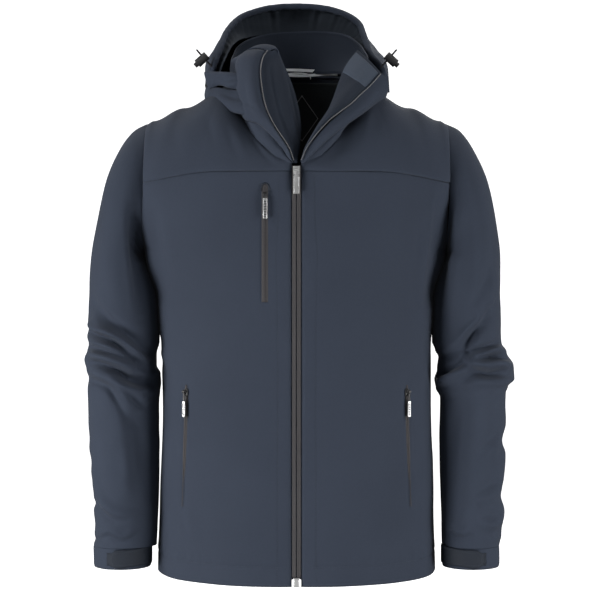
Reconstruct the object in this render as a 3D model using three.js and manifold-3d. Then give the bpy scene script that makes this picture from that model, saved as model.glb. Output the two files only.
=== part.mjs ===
// Foul weather jacket: a hooded softshell with a full front zip, a chest pocket, two hand pockets,
// and cuffs with hook-and-loop tabs. Millimetres, +Z up, the wearer faces -Y, +X is the wearer's left.
// The origin is the underside of the hanger loop at the back of the neck, where a hook carries the jacket.
import * as THREE from "three";
import { mergeVertices } from "three/addons/utils/BufferGeometryUtils.js";
import Module from "manifold-3d";

const wasm = await Module();
wasm.setup();

// ---------------------------------------------------------------- driving dimensions
const SHELL = 1.6; // softshell cloth
const LINING = 0.8; // lining cloth
const SEAM = 0.6; // gap between two cut pieces at a seam
const MID_Y = -78; // middle of the jacket's depth
const FRONT_DEPTH = 126; // middle to the front cloth
const BACK_DEPTH = 116; // middle to the back cloth
const ROUNDNESS = 2.4; // exponent of the body's oval slices
const ARMHOLE_X = 222; // half of the width across the shoulder seams
const ARMHOLE_TOP = -84;
const UNDERARM = -270;
const ARMHOLE_DEPTH = 64; // half of the armhole's width, front to back
const WAIST = 197; // half-width at the waist
const HEM_WIDTH = 204; // half-width at the hem
const HEM_FRONT = -750;
const HEM_RISE = 12; // how much higher the hem is at the side seams
const FRONT_YOKE_SEAM = -161;
const BACK_YOKE_SEAM = -150;
const ZIP_OPENING = 6.6; // half of the gap between the front panels, where the main zip shows
const HEM_BAND = 32;
const FRONT_Y = MID_Y - FRONT_DEPTH; // the front cloth at the zip
const LINING_DEPTH = 8; // shell's outer face to the lining

const NECK_WIDTH = 88; // half-width of the neck seam
const NECK_BACK = 9; // y of the neck seam at the back
const NECK_DROP = 146; // back neck seam to the bottom of the open V
const NECK_Z = -4;

const ELBOW = -440; // height of the elbow
const CUFF_TOP = -702;
const CUFF_BOTTOM = -733;
const CUFF_WALL = 2.4;

const TAPE_WALL = 1.6; // zip tape with its coil
const PULLER = { width: 8.6, length: 34, wall: 1.8, eye: 1.35, neck: 5.6 };
const BRIDGE_PIN = 0.9; // radius of the pin on a slider that its puller hangs on
const SLIDER = { width: 9.4, height: 12, plate: 2.2, post: 0.6 };
const CHEST_ZIP = { x: -44, top: -180, bottom: -347, width: 11 };
const HAND_ZIP = { topX: 157, bottomX: 163, top: -466, bottom: -640, width: 7 };
const CORD = 1.3; // radius of the elastic hood cord
const LOCK = { radius: 6.5, front: -6, back: 13, bore: 4.2, plunger: 3.8, travel: 3 };
const LOOP = { span: 44, width: 4, wall: 1.5, drop: 8 };

// ---------------------------------------------------------------- small tools
const V = (x, y, z) => new THREE.Vector3(x, y, z);
const lerp = THREE.MathUtils.lerp;
const clamp01 = (t) => Math.min(1, Math.max(0, t));
const ease = (t) => clamp01(t) ** 2 * (3 - 2 * clamp01(t));
const power = (base, exponent) => Math.max(base, 0) ** exponent;
const curve = (points) => new THREE.CatmullRomCurve3(points.map((p) => V(...p)), false, "catmullrom", 0.5);

// A smooth value along pairs of [place, value] given in rising order of place.
function along(pairs, place) {
  const last = pairs.length - 1;
  if (place <= pairs[0][0]) return pairs[0][1];
  if (place >= pairs[last][0]) return pairs[last][1];
  const i = pairs.findIndex((p) => p[0] >= place) - 1;
  const t = (place - pairs[i][0]) / (pairs[i + 1][0] - pairs[i][0]);
  return lerp(pairs[i][1], pairs[i + 1][1], ease(t));
}

function materialOf(color, roughness, metalness = 0) {
  return new THREE.MeshStandardMaterial({ color, roughness, metalness });
}

const FINISH = {
  shell: () => materialOf(0x1b212c, 0.85),
  lining: () => materialOf(0x14171b, 0.9),
  collar: () => materialOf(0x171c24, 0.9),
  tape: () => materialOf(0x25252b, 0.8),
  silver: () => materialOf(0xb4b5b5, 0.35, 0.9),
  black: () => materialOf(0x0c0c0e, 0.5),
  webbing: () => materialOf(0xaeb3b8, 0.8),
};

const jacket = new THREE.Group();
function add(name, geometry, finish) {
  const mesh = new THREE.Mesh(geometry, FINISH[finish]());
  mesh.name = name;
  jacket.add(mesh);
  return mesh;
}

// A closed solid turned so that its faces point out.
function closedGeometry(positions, triangles) {
  let volume = 0;
  const at = (i) => V(...positions.slice(3 * i, 3 * i + 3));
  for (let i = 0; i < triangles.length; i += 3) {
    const [a, b, c] = [at(triangles[i]), at(triangles[i + 1]), at(triangles[i + 2])];
    volume += a.dot(b.cross(c));
  }
  if (volume < 0) triangles.reverse();
  const geometry = new THREE.BufferGeometry();
  geometry.setAttribute("position", new THREE.Float32BufferAttribute(positions, 3));
  geometry.setIndex(triangles);
  return geometry;
}

// Cloth of one thickness on the surface point(u, v), u and v from 0 to 1. `out` points from the wearer
// outwards at the middle, `lift` moves the outer face along the normal, and `trim` takes millimetres off
// the edges u=0, u=1, v=0 and v=1. A ring closes on itself in u.
function cloth(point, cells, { wall = SHELL, lift = 0, trim = [SEAM, SEAM, SEAM, SEAM], out, ring = false }) {
  const [nu, nv] = cells;
  const step = 1e-3;
  const length = (f) => {
    let sum = 0;
    for (let i = 0; i < 6; i++) sum += f(i / 6).distanceTo(f((i + 1) / 6));
    return sum;
  };
  const place = (s, t) => {
    const high = length((q) => point(s, q));
    const v = lerp(trim[2] / high, 1 - trim[3] / high, t);
    if (ring) return [s, v];
    const wide = length((q) => point(q, v));
    return [lerp(trim[0] / wide, 1 - trim[1] / wide, s), v];
  };
  const normal = (u, v) => {
    const [u0, u1] = ring ? [u - step, u + step] : [Math.max(0, u - step), Math.min(1, u + step)];
    const [v0, v1] = [Math.max(0, v - step), Math.min(1, v + step)];
    const du = point(u1, v).sub(point(u0, v));
    return du.cross(point(u, v1).sub(point(u, v0))).normalize();
  };
  const sign = Math.sign(normal(0.5, 0.5).dot(out)) || 1;
  const columns = ring ? nu : nu + 1;
  const outer = [];
  const inner = [];
  for (let j = 0; j <= nv; j++) {
    for (let i = 0; i < columns; i++) {
      const [u, v] = place(i / nu, j / nv);
      const n = normal(u, v).multiplyScalar(sign);
      outer.push(...point(u, v).addScaledVector(n, lift).toArray());
      inner.push(...point(u, v).addScaledVector(n, lift - wall).toArray());
    }
  }
  const layer = columns * (nv + 1);
  const id = (i, j) => j * columns + (ring ? i % nu : i);
  const triangles = [];
  const quad = (a, b, c, d) => triangles.push(a, b, c, a, c, d);
  for (let j = 0; j < nv; j++) {
    for (let i = 0; i < nu; i++) {
      quad(id(i, j), id(i + 1, j), id(i + 1, j + 1), id(i, j + 1));
      quad(layer + id(i, j), layer + id(i, j + 1), layer + id(i + 1, j + 1), layer + id(i + 1, j));
    }
  }
  for (let i = 0; i < nu; i++) {
    quad(id(i + 1, 0), id(i, 0), layer + id(i, 0), layer + id(i + 1, 0));
    quad(id(i, nv), id(i + 1, nv), layer + id(i + 1, nv), layer + id(i, nv));
  }
  for (let j = 0; j < nv && !ring; j++) {
    quad(id(0, j), id(0, j + 1), layer + id(0, j + 1), layer + id(0, j));
    quad(id(nu, j + 1), id(nu, j), layer + id(nu, j), layer + id(nu, j + 1));
  }
  return closedGeometry([...outer, ...inner], triangles);
}

function box(low, high) {
  const size = high.clone().sub(low);
  const centre = high.clone().add(low).multiplyScalar(0.5);
  return new THREE.BoxGeometry(size.x, size.y, size.z).translate(centre.x, centre.y, centre.z);
}

function solidOf(geometry) {
  const bare = geometry.clone();
  bare.deleteAttribute("normal");
  bare.deleteAttribute("uv");
  const merged = mergeVertices(bare, 1e-3);
  const vertProperties = new Float32Array(merged.attributes.position.array);
  const triVerts = new Uint32Array(merged.index.array);
  return new wasm.Manifold(new wasm.Mesh({ numProp: 3, vertProperties, triVerts }));
}

function geometryOf(solid) {
  const mesh = solid.getMesh();
  const geometry = new THREE.BufferGeometry();
  geometry.setAttribute("position", new THREE.Float32BufferAttribute(mesh.vertProperties, 3));
  geometry.setIndex([...mesh.triVerts]);
  return geometry;
}

const joined = (...shapes) => geometryOf(shapes.map(solidOf).reduce((a, b) => a.add(b)));
const cut = (shape, ...tools) =>
  geometryOf(tools.map(solidOf).reduce((a, b) => a.subtract(b), solidOf(shape)));

// A cylinder along X, round the point (0, y, z).
function pinAlongX(radius, length, y, z) {
  return new THREE.CylinderGeometry(radius, radius, length, 12).rotateZ(Math.PI / 2).translate(0, y, z);
}

// ---------------------------------------------------------------- body shape
const bodyWidth = (z) => {
  const profile = [
    [HEM_FRONT, HEM_WIDTH],
    [-640, HEM_WIDTH - 3],
    [-500, WAIST],
    [-420, WAIST + 1],
    [-344, WAIST + 7],
    [UNDERARM, ARMHOLE_X],
  ];
  return along(profile, z);
};

const armholeMiddle = (ARMHOLE_TOP + UNDERARM) / 2;
const armholeHalf = (ARMHOLE_TOP - UNDERARM) / 2;
const armholeY = (z) => ARMHOLE_DEPTH * power(1 - ((z - armholeMiddle) / armholeHalf) ** 2, 0.5);

// A slice of the body at height z: share 0 is the centre line, 1 the side seam or the armhole's edge.
// `face` is -1 for the front and 1 for the back.
function slice(share, z, face) {
  const depth = face < 0 ? FRONT_DEPTH : BACK_DEPTH;
  let wide = bodyWidth(z);
  let end = Math.PI / 2;
  if (z > UNDERARM) {
    wide = ARMHOLE_X / power(1 - power(armholeY(z) / depth, ROUNDNESS), 1 / ROUNDNESS);
    end = Math.asin(power(ARMHOLE_X / wide, ROUNDNESS / 2));
  }
  const angle = end * Math.abs(share);
  const x = Math.sign(share) * wide * power(Math.sin(angle), 2 / ROUNDNESS);
  return V(x, MID_Y + face * depth * power(Math.cos(angle), 2 / ROUNDNESS), z);
}

// The share of a slice at which it reaches x.
function shareAt(x, z, face) {
  let [low, high] = [0, 1];
  for (let i = 0; i < 30; i++) {
    const middle = (low + high) / 2;
    if (slice(middle, z, face).x < x) low = middle;
    else high = middle;
  }
  return (low + high) / 2;
}

const hemAt = (share) => HEM_FRONT + HEM_RISE * share ** 2;
const UNDERARM_ROW = 0.75; // the row of a panel's grid that meets the underarm

// Height of row v of a panel whose top seam is at `top`.
function panelHeight(share, v, top, bottom = hemAt(share)) {
  if (v <= UNDERARM_ROW) return lerp(bottom, UNDERARM, v / UNDERARM_ROW);
  return lerp(UNDERARM, top, (v - UNDERARM_ROW) / (1 - UNDERARM_ROW));
}

function frontPoint(side, from, u, v, top = FRONT_YOKE_SEAM, bottom) {
  const z = panelHeight(u, v, top, bottom);
  const start = shareAt(from, z, -1);
  const p = slice(lerp(start, 1, u), z, -1);
  return V(side * p.x, p.y, z);
}

function backPoint(u, v, top = BACK_YOKE_SEAM, bottom) {
  const share = 2 * u - 1;
  const z = panelHeight(share, v, top, bottom);
  return slice(share, z, 1);
}

// ---------------------------------------------------------------- neck and shoulders
// The neck seam: turn 0 is the back centre, 1 the bottom of the V on the wearer's left, -1 on the right.
function neck(turn) {
  const angle = turn * Math.PI;
  const reach = (NECK_BACK - (MID_Y - FRONT_DEPTH)) / 2;
  const fall = power((1 - Math.cos(angle)) / 2, 2.2);
  return V(
    NECK_WIDTH * Math.sin(angle),
    NECK_BACK - reach + reach * Math.cos(angle),
    NECK_Z - NECK_DROP * fall,
  );
}

const SHOULDER_TURN = 0.44; // where the shoulder seam meets the neck seam
const shoulderStart = neck(SHOULDER_TURN);
function shoulder(share) {
  const x = lerp(shoulderStart.x, ARMHOLE_X, share);
  const y = lerp(shoulderStart.y, MID_Y, ease(share * 2));
  const profile = [
    [shoulderStart.x, shoulderStart.z],
    [165, -60],
    [211, -79],
    [ARMHOLE_X, ARMHOLE_TOP],
  ];
  return V(x, y, along(profile, x));
}

const zipTurn = 1 - Math.asin((ZIP_OPENING + 0.3) / NECK_WIDTH) / Math.PI; // the neck seam's end at the zip
const NECK_SHARE = 0.5; // the part of a yoke's top edge that is neck seam
function arch(low, top, round, t) {
  const control = V((low.x + top.x) / 2, lerp(top.y, low.y, round), lerp(low.z, top.z, round));
  return low
    .multiplyScalar((1 - t) ** 2)
    .addScaledVector(control, 2 * t * (1 - t))
    .addScaledVector(top, t * t);
}

function frontYokePoint(side, u, v) {
  const start = shareAt(ZIP_OPENING, FRONT_YOKE_SEAM, -1);
  const low = slice(lerp(start, 1, u), FRONT_YOKE_SEAM, -1);
  const t = u / NECK_SHARE;
  const top = t < 1 ? neck(lerp(zipTurn, SHOULDER_TURN, t)) : shoulder((u - NECK_SHARE) / (1 - NECK_SHARE));
  const p = arch(low, top, lerp(0.5, 0.93, ease(u / 0.4)), v);
  return V(side * p.x, p.y, p.z);
}

function backYokePoint(u, v) {
  const share = 2 * u - 1;
  const size = Math.abs(share);
  const low = slice(size, BACK_YOKE_SEAM, 1);
  const t = size / NECK_SHARE;
  const top = t < 1 ? neck(SHOULDER_TURN * t) : shoulder((size - NECK_SHARE) / (1 - NECK_SHARE));
  const p = arch(low, top, 0.9, v);
  return V(Math.sign(share) * p.x, p.y, p.z);
}

const SIDES = [
  ["right", -1],
  ["left", 1],
];
const FORWARD = V(0, -1, 0);
const BACKWARD = V(0, 1, 0);

// ---------------------------------------------------------------- zips of the pockets
// A straight zip between two points of the shell: its frame has Z along the zip, upwards, and -Y outwards.
function zipFrame(top, bottom) {
  const up = top.clone().sub(bottom).normalize();
  const middleZ = (top.z + bottom.z) / 2;
  const share = shareAt(Math.abs(top.x + bottom.x) / 2, middleZ, -1);
  const side = Math.sign(top.x);
  const a = slice(share - 0.02, middleZ, -1);
  const b = slice(share + 0.02, middleZ, -1);
  const across = V(side * (b.x - a.x), b.y - a.y, 0).multiplyScalar(side).normalize();
  const inward = up.clone().cross(across).normalize();
  const basis = new THREE.Matrix4().makeBasis(inward.clone().cross(up), inward, up);
  return basis.setPosition(top.clone().add(bottom).multiplyScalar(0.5));
}

function onFront(x, z) {
  const p = slice(shareAt(Math.abs(x), z, -1), z, -1);
  return V(x, p.y, z);
}

const chestTop = onFront(CHEST_ZIP.x, CHEST_ZIP.top);
const chestBottom = onFront(CHEST_ZIP.x, CHEST_ZIP.bottom);
const POCKET_ZIPS = {
  chest: { top: chestTop, bottom: chestBottom, width: CHEST_ZIP.width },
};
for (const [name, side] of SIDES)
  POCKET_ZIPS[name + "_hand"] = {
    top: onFront(side * HAND_ZIP.topX, HAND_ZIP.top),
    bottom: onFront(side * HAND_ZIP.bottomX, HAND_ZIP.bottom),
    width: HAND_ZIP.width,
  };
const ZIP_CLEARANCE = 0.6; // round a pocket zip's tape, in the slit of its panel
const SLIDER_GAP = 0.4; // between a pocket slider and its tape
const POCKET_SLIDER = { width: 5.4, height: 9, plate: 1.8, reach: 2.5, eye: 1.1, eyeWall: 0.9, eyeWidth: 3.4 };
const CHEST_PULLER = { drop: 12, neck: 7.5, neckWidth: 3, width: 5.8, length: 34 };
const HAND_PULLER = { drop: 6, neck: 16, neckWidth: 2.4, width: 4.6, length: 36 };

for (const [name, zip] of Object.entries(POCKET_ZIPS)) {
  zip.frame = zipFrame(zip.top, zip.bottom);
  zip.length = zip.top.distanceTo(zip.bottom);
  const half = zip.length / 2;
  const side = zip.width / 2;
  zip.slit = box(
    V(-side - ZIP_CLEARANCE, -8, -half - ZIP_CLEARANCE),
    V(side + ZIP_CLEARANCE, 8, half + ZIP_CLEARANCE),
  ).applyMatrix4(zip.frame);
  const tape = box(V(-side, -TAPE_WALL / 2, -half), V(side, TAPE_WALL / 2, half));
  add(name + "_zip_tape", tape.applyMatrix4(zip.frame), "tape");

  const small = name === "chest" ? CHEST_PULLER : HAND_PULLER;
  const sliderTop = half - small.drop;
  const face = -TAPE_WALL / 2 - SLIDER_GAP;
  const plateFront = face - POCKET_SLIDER.plate;
  const pin = { y: plateFront - POCKET_SLIDER.reach, z: sliderTop - 3 };
  const lug = (x) => box(V(x - 0.4, pin.y - 0.9, pin.z - 0.9), V(x + 0.4, face - 1, pin.z + 0.9));
  const slider = joined(
    box(
      V(-POCKET_SLIDER.width / 2, plateFront, sliderTop - POCKET_SLIDER.height),
      V(POCKET_SLIDER.width / 2, face, sliderTop),
    ),
    lug(-2.5),
    lug(2.5),
    pinAlongX(BRIDGE_PIN * 0.7, 5, pin.y, pin.z),
  );
  add(name + "_zip_slider", slider.applyMatrix4(zip.frame), "black");
  zip.pin = V(0, pin.y, pin.z);
}

for (const [name, zip] of Object.entries(POCKET_ZIPS)) {
  const small = name === "chest" ? CHEST_PULLER : HAND_PULLER;
  const { eye, eyeWall, eyeWidth } = POCKET_SLIDER;
  const ring = new THREE.CylinderGeometry(eye + eyeWall, eye + eyeWall, eyeWidth, 12).rotateZ(Math.PI / 2);
  const hole = new THREE.CylinderGeometry(eye, eye, 8, 12).rotateZ(Math.PI / 2);
  const neck = box(V(-small.neckWidth / 2, -0.7, -small.neck - 0.5), V(small.neckWidth / 2, 0.7, -eye));
  const grip = box(V(-small.width / 2, -0.8, -small.length), V(small.width / 2, 0.8, -small.neck));
  const puller = cut(joined(ring, neck, grip), hole).translate(zip.pin.x, zip.pin.y, zip.pin.z);
  add(name + "_zip_puller", puller.applyMatrix4(zip.frame), "silver");
}

// ---------------------------------------------------------------- body panels
for (const [name, side] of SIDES) {
  const forward = V(side * 0.6, -1, 0);
  const panel = cloth((u, v) => frontPoint(side, ZIP_OPENING, u, v), [8, 12], {
    out: forward,
    trim: [0, SEAM / 2, 0, SEAM / 2],
  });
  const slits = Object.values(POCKET_ZIPS).filter((zip) => Math.sign(zip.top.x) === side);
  add(name + "_front_panel", cut(panel, ...slits.map((zip) => zip.slit)), "shell");
  const yoke = cloth((u, v) => frontYokePoint(side, u, v), [10, 6], {
    out: V(side * 0.3, -1, 1),
    trim: [0, SEAM / 2, SEAM / 2, SEAM],
  });
  add(name + "_front_yoke", yoke, "shell");
  const liningFrom = 27;
  const lining = cloth((u, v) => frontPoint(side, liningFrom, u, v, -168, HEM_FRONT + 22), [7, 10], {
    wall: LINING,
    lift: -LINING_DEPTH,
    out: forward,
    trim: [0, 8, 0, 0],
  });
  add(name + "_front_lining", lining, "lining");
}

add(
  "back_panel",
  cloth((u, v) => backPoint(u, v), [16, 12], { out: BACKWARD, trim: [SEAM / 2, SEAM / 2, 0, SEAM / 2] }),
  "shell",
);
add(
  "back_yoke",
  cloth(backYokePoint, [16, 6], { out: V(0, 1, 1), trim: [SEAM / 2, SEAM / 2, SEAM / 2, SEAM] }),
  "shell",
);
add(
  "back_lining",
  cloth((u, v) => backPoint(u, v, -160, HEM_FRONT + 22), [12, 10], {
    wall: LINING,
    lift: -LINING_DEPTH,
    out: BACKWARD,
    trim: [16, 16, 0, 0],
  }),
  "lining",
);
add(
  "yoke_lining",
  cloth((u, v) => backYokePoint(lerp(0.14, 0.86, u), lerp(0.1, 0.86, v)), [12, 5], {
    wall: LINING,
    lift: -LINING_DEPTH,
    out: V(0, 1, 1),
  }),
  "lining",
);
add(
  "label_patch",
  cloth((u, v) => backYokePoint(lerp(0.47, 0.56, u), lerp(0.5, 0.76, v)), [2, 3], {
    wall: 0.5,
    lift: -LINING_DEPTH - 2.6,
    out: V(0, 1, 1),
  }),
  "webbing",
);

// The hem's turned-up band runs inside from one front edge round the back to the other.
function hemPoint(u, v) {
  const turn = 4 * u - 2; // -2 and 2 are the front edges, 0 is the back centre, -1 and 1 the side seams
  const size = Math.abs(turn);
  const z = lerp(HEM_FRONT + HEM_RISE + 0.5, HEM_FRONT + HEM_BAND, v);
  const start = shareAt(ZIP_OPENING + 18, z, -1);
  const p = size <= 1 ? slice(size, z, 1) : slice(lerp(1, start, size - 1), z, -1);
  return V(Math.sign(turn) * p.x, p.y, z);
}
add(
  "hem_facing",
  cloth(hemPoint, [32, 1], { wall: 1.2, lift: -SHELL - 0.7, out: BACKWARD, trim: [0, 0, 0, 0] }),
  "shell",
);

// Pocket bags hang between the shell and the lining, from their zips towards the centre.
function bag(side, x0, x1, low, high) {
  const point = (u, v) => {
    const z = lerp(low, high, v);
    const p = onFront(side * lerp(x0, x1, u), z);
    return p;
  };
  return cloth(point, [4, 4], { wall: 1.6, lift: -SHELL - 1.6, out: FORWARD, trim: [0, 0, 0, 0] });
}
add("chest_pocket_bag", bag(-1, 38, 130, CHEST_ZIP.bottom - 6, CHEST_ZIP.top - 12), "lining");
for (const [name, side] of SIDES)
  add(name + "_hand_pocket_bag", bag(side, 60, 168, HAND_ZIP.bottom - 40, HAND_ZIP.top + 6), "lining");

// ---------------------------------------------------------------- main zip
const ZIP_TOP = NECK_Z - NECK_DROP - 4;
const ZIP_FOOT = HEM_FRONT + 13; // top of the retaining box
const ZIP_SLIT = 1.4;
const tapeY = [FRONT_Y - 0.2, FRONT_Y - 0.2 + TAPE_WALL];
for (const [name, side] of SIDES) {
  const [a, b] = [side * (ZIP_SLIT / 2), side * (ZIP_OPENING - 0.5)];
  const tape = box(V(Math.min(a, b), tapeY[0], ZIP_FOOT + 0.4), V(Math.max(a, b), tapeY[1], ZIP_TOP));
  add(name + "_main_zip_tape", tape, "tape");
}
add(
  "zip_retaining_box",
  box(V(-4.4, tapeY[0] - 1.6, HEM_FRONT), V(4.4, tapeY[1] + 1.2, ZIP_FOOT)),
  "silver",
);

const sliderTop = ZIP_TOP - 1;
const sliderLow = sliderTop - SLIDER.height;
const PLATE_GAP = 0.5; // between the slider's plates and the tape
const frontPlate = [tapeY[0] - PLATE_GAP - SLIDER.plate, tapeY[0] - PLATE_GAP];
const rearPlate = [tapeY[1] + PLATE_GAP, tapeY[1] + PLATE_GAP + 1.2];
const mainPin = { y: frontPlate[0] - 2.9, z: sliderTop - 5 };
const ear = (side) =>
  box(
    V(Math.min(side * 3.4, side * 4.6), mainPin.y - 1.2, mainPin.z - 1.4),
    V(Math.max(side * 3.4, side * 4.6), frontPlate[0] + 0.5, mainPin.z + 1.4),
  );
add(
  "main_zip_slider",
  joined(
    box(V(-SLIDER.width / 2, frontPlate[0], sliderLow), V(SLIDER.width / 2, frontPlate[1], sliderTop)),
    box(
      V(-SLIDER.width / 2 + 0.6, rearPlate[0], sliderLow),
      V(SLIDER.width / 2 - 0.6, rearPlate[1], sliderTop),
    ),
    box(
      V(-SLIDER.post / 2, frontPlate[1] - 0.5, sliderTop - 5),
      V(SLIDER.post / 2, rearPlate[0] + 0.5, sliderTop),
    ),
    ear(-1),
    ear(1),
    pinAlongX(BRIDGE_PIN, 8, mainPin.y, mainPin.z),
  ),
  "silver",
);
const acrossPin = (radius, length) =>
  new THREE.CylinderGeometry(radius, radius, length, 14).rotateZ(Math.PI / 2);
const mainEye = acrossPin(PULLER.eye + 1, PULLER.neck);
const mainHole = acrossPin(PULLER.eye, PULLER.neck + 4);
const mainNeck = box(
  V(-PULLER.neck / 2 + 0.4, -PULLER.wall / 2, -SLIDER.height),
  V(PULLER.neck / 2 - 0.4, PULLER.wall / 2, -PULLER.eye - 0.2),
);
const mainGrip = box(
  V(-PULLER.width / 2, -PULLER.wall / 2, -PULLER.length),
  V(PULLER.width / 2, PULLER.wall / 2, -SLIDER.height + 0.5),
);
add(
  "main_zip_puller",
  cut(joined(mainEye, mainNeck, mainGrip), mainHole).translate(0, mainPin.y, mainPin.z),
  "silver",
);

add("wind_flap", box(V(-24, FRONT_Y + 6, HEM_FRONT + 10), V(24, FRONT_Y + 7.2, ZIP_TOP - 2)), "collar");

// ---------------------------------------------------------------- collar
const collarTop = curve([
  [-54, FRONT_Y + 34, 14],
  [-90, FRONT_Y + 82, 12],
  [-93, -55, 26],
  [-62, 8, 50],
  [0, 24, 60],
  [62, 8, 50],
  [93, -55, 26],
  [96, FRONT_Y + 92, 14],
  [84, FRONT_Y + 52, 20],
]);
const collarPoint = (u, v) => {
  const low = neck(lerp(-0.965, 0.965, u));
  const high = collarTop.getPoint(u);
  const belly = 5 * Math.sin(Math.PI * v) - 2.5 * (1 - v);
  const away = V(low.x, low.y - MID_Y, 0).normalize();
  return low.lerp(high, v).addScaledVector(away, belly);
};
const COLLAR_FOOT = 4.5; // the collar's lower edge above the neck seam
add(
  "collar",
  cloth(collarPoint, [24, 4], { out: BACKWARD, trim: [0, 0, COLLAR_FOOT, 0] }),
  "shell",
);
add(
  "collar_facing",
  cloth(collarPoint, [24, 4], {
    wall: 1.2,
    lift: -SHELL - 0.6,
    out: BACKWARD,
    trim: [1, 1, COLLAR_FOOT + 3, 1],
  }),
  "collar",
);
const tapePoint = (u, v) => collarPoint(lerp(0.42, 0.58, u), lerp(0.16, 0.3, v));
add(
  "neck_tape",
  cloth(tapePoint, [4, 1], { wall: 0.5, lift: -SHELL - 0.6 - 1.2 - 0.5, out: BACKWARD, trim: [0, 0, 0, 0] }),
  "webbing",
);

// The front corners of the open collar: one is turned back like a lapel, the other stands off the shoulder.
function patch(first, second, cells, out, wall) {
  const [a, b] = [curve(first), curve(second)];
  return cloth((u, v) => a.getPoint(v).lerp(b.getPoint(v), u), cells, { wall, out, trim: [0, 0, 0, 0] });
}
add(
  "left_collar_lapel",
  patch(
    [
      [12, FRONT_Y - 10, -138],
      [44, FRONT_Y - 2, -66],
      [88, FRONT_Y + 36, 16],
    ],
    [
      [18, FRONT_Y - 12, -138],
      [66, FRONT_Y - 2, -78],
      [121, FRONT_Y + 52, -24],
    ],
    [3, 6],
    V(0.3, -1, 0.2),
    2.4,
  ),
  "collar",
);
add(
  "right_collar_end",
  patch(
    [
      [-84, FRONT_Y + 44, -50],
      [-88, FRONT_Y + 40, -4],
    ],
    [
      [-132, FRONT_Y + 82, -42],
      [-137, FRONT_Y + 84, -6],
    ],
    [3, 2],
    V(-0.5, -1, 0),
    2.4,
  ),
  "shell",
);

// ---------------------------------------------------------------- hood, fallen back behind the collar
// Each row: the side point's x, y and z, then the centre's y and z, from the rim round to the neck seam.
const HOOD_ROWS = [
  [120, -88, -6, 32, 100],
  [130, -60, -10, 82, 86],
  [136, -20, -22, 112, 10],
  [120, 14, -54, 100, -84],
  [98, 6, -46, 66, -70],
  [104, -48, -14, 19, 6],
];
function hoodPoint(u, v) {
  const angle = Math.PI * (1 - u);
  const rise = Math.sin(angle);
  const rows = HOOD_ROWS.map(([x, y, z, cy, cz]) => [
    x * Math.cos(angle),
    lerp(y, cy, power(rise, 1.3)),
    lerp(z, cz, power(rise, 0.8)),
  ]);
  return curve(rows).getPoint(v);
}
const hoodAt = (from, to) => (u, v) => hoodPoint(u, lerp(from, to, v));
add("hood", cloth(hoodAt(0, 1), [16, 15], { out: BACKWARD, trim: [0, 0, 0, 0] }), "shell");
add(
  "hood_lining",
  cloth(hoodAt(0.06, 0.94), [16, 12], {
    wall: LINING,
    lift: -SHELL - 1.2,
    out: BACKWARD,
    trim: [2, 2, 0, 0],
  }),
  "lining",
);
add(
  "hood_rim_casing",
  cloth(hoodAt(0.005, 0.055), [18, 1], { wall: 2.2, lift: 2.8, out: BACKWARD, trim: [0, 0, 0, 0] }),
  "shell",
);

// ---------------------------------------------------------------- hood cords and their locks
for (const [name, side] of SIDES) {
  const start = V(side * 123, -95, -3);
  const along = V(side * 0.66, -0.16, 0.73).normalize();
  const across = V(0, 1, 0).addScaledVector(along, -along.y).normalize();
  const plungerAxis = across.clone().cross(along).normalize();
  if (plungerAxis.x * side < 0) plungerAxis.negate();
  const frame = new THREE.Matrix4().makeBasis(plungerAxis, along.clone().cross(plungerAxis), along);
  const lockMiddle = 20;
  const strand = 1.75; // half of the distance between the cord's two strands
  const tip = lockMiddle + LOCK.radius + 9;
  const path = new THREE.CatmullRomCurve3(
    [
      V(0, -strand, 1),
      V(0, -strand, tip * 0.5),
      V(0, -strand, tip - 4),
      V(0, 0, tip),
      V(0, strand, tip - 4),
      V(0, strand, tip * 0.5),
      V(0, strand, 1),
    ],
    false,
    "centripetal",
  );
  const section = new THREE.Shape().absarc(0, 0, CORD, 0, 2 * Math.PI, false);
  const tube = new THREE.ExtrudeGeometry(section, { steps: 24, extrudePath: path, curveSegments: 4 });
  const place = (geometry) => geometry.applyMatrix4(frame).translate(start.x, start.y, start.z);
  add(name + "_hood_cord", place(tube), "black");

  const barrel = new THREE.CylinderGeometry(LOCK.radius, LOCK.radius, LOCK.back - LOCK.front, 16)
    .rotateZ(Math.PI / 2)
    .translate((LOCK.back + LOCK.front) / 2, 0, lockMiddle);
  const cordHole = new THREE.CylinderGeometry(1, 1, 30, 14)
    .scale(CORD + 0.5, 1, strand + CORD + 0.5)
    .rotateX(Math.PI / 2)
    .translate(0, 0, lockMiddle);
  const boreDepth = 8.5;
  const bore = new THREE.CylinderGeometry(LOCK.bore, LOCK.bore, boreDepth + 1, 16)
    .rotateZ(Math.PI / 2)
    .translate(LOCK.back - boreDepth / 2 + 0.5, 0, lockMiddle);
  add(name + "_cord_lock_barrel", place(cut(barrel, cordHole, bore)), "black");
  const plungerIn = boreDepth - LOCK.travel - 0.8;
  const plunger = new THREE.CylinderGeometry(LOCK.plunger, LOCK.plunger, plungerIn + 4.5, 16)
    .rotateZ(Math.PI / 2)
    .translate(LOCK.back + (4.5 - plungerIn) / 2, 0, lockMiddle);
  add(name + "_cord_lock_plunger", place(plunger), "black");
}

// ---------------------------------------------------------------- hanger loop
const loopHalf = LOOP.span / 2;
add(
  "hanger_loop",
  joined(
    box(V(-loopHalf, -LOOP.width / 2, 0), V(loopHalf, LOOP.width / 2, LOOP.wall)),
    box(V(-loopHalf, -LOOP.width / 2, -LOOP.drop), V(-loopHalf + LOOP.wall, LOOP.width / 2, 0.5)),
    box(V(loopHalf - LOOP.wall, -LOOP.width / 2, -LOOP.drop), V(loopHalf, LOOP.width / 2, 0.5)),
  ),
  "webbing",
);

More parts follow.
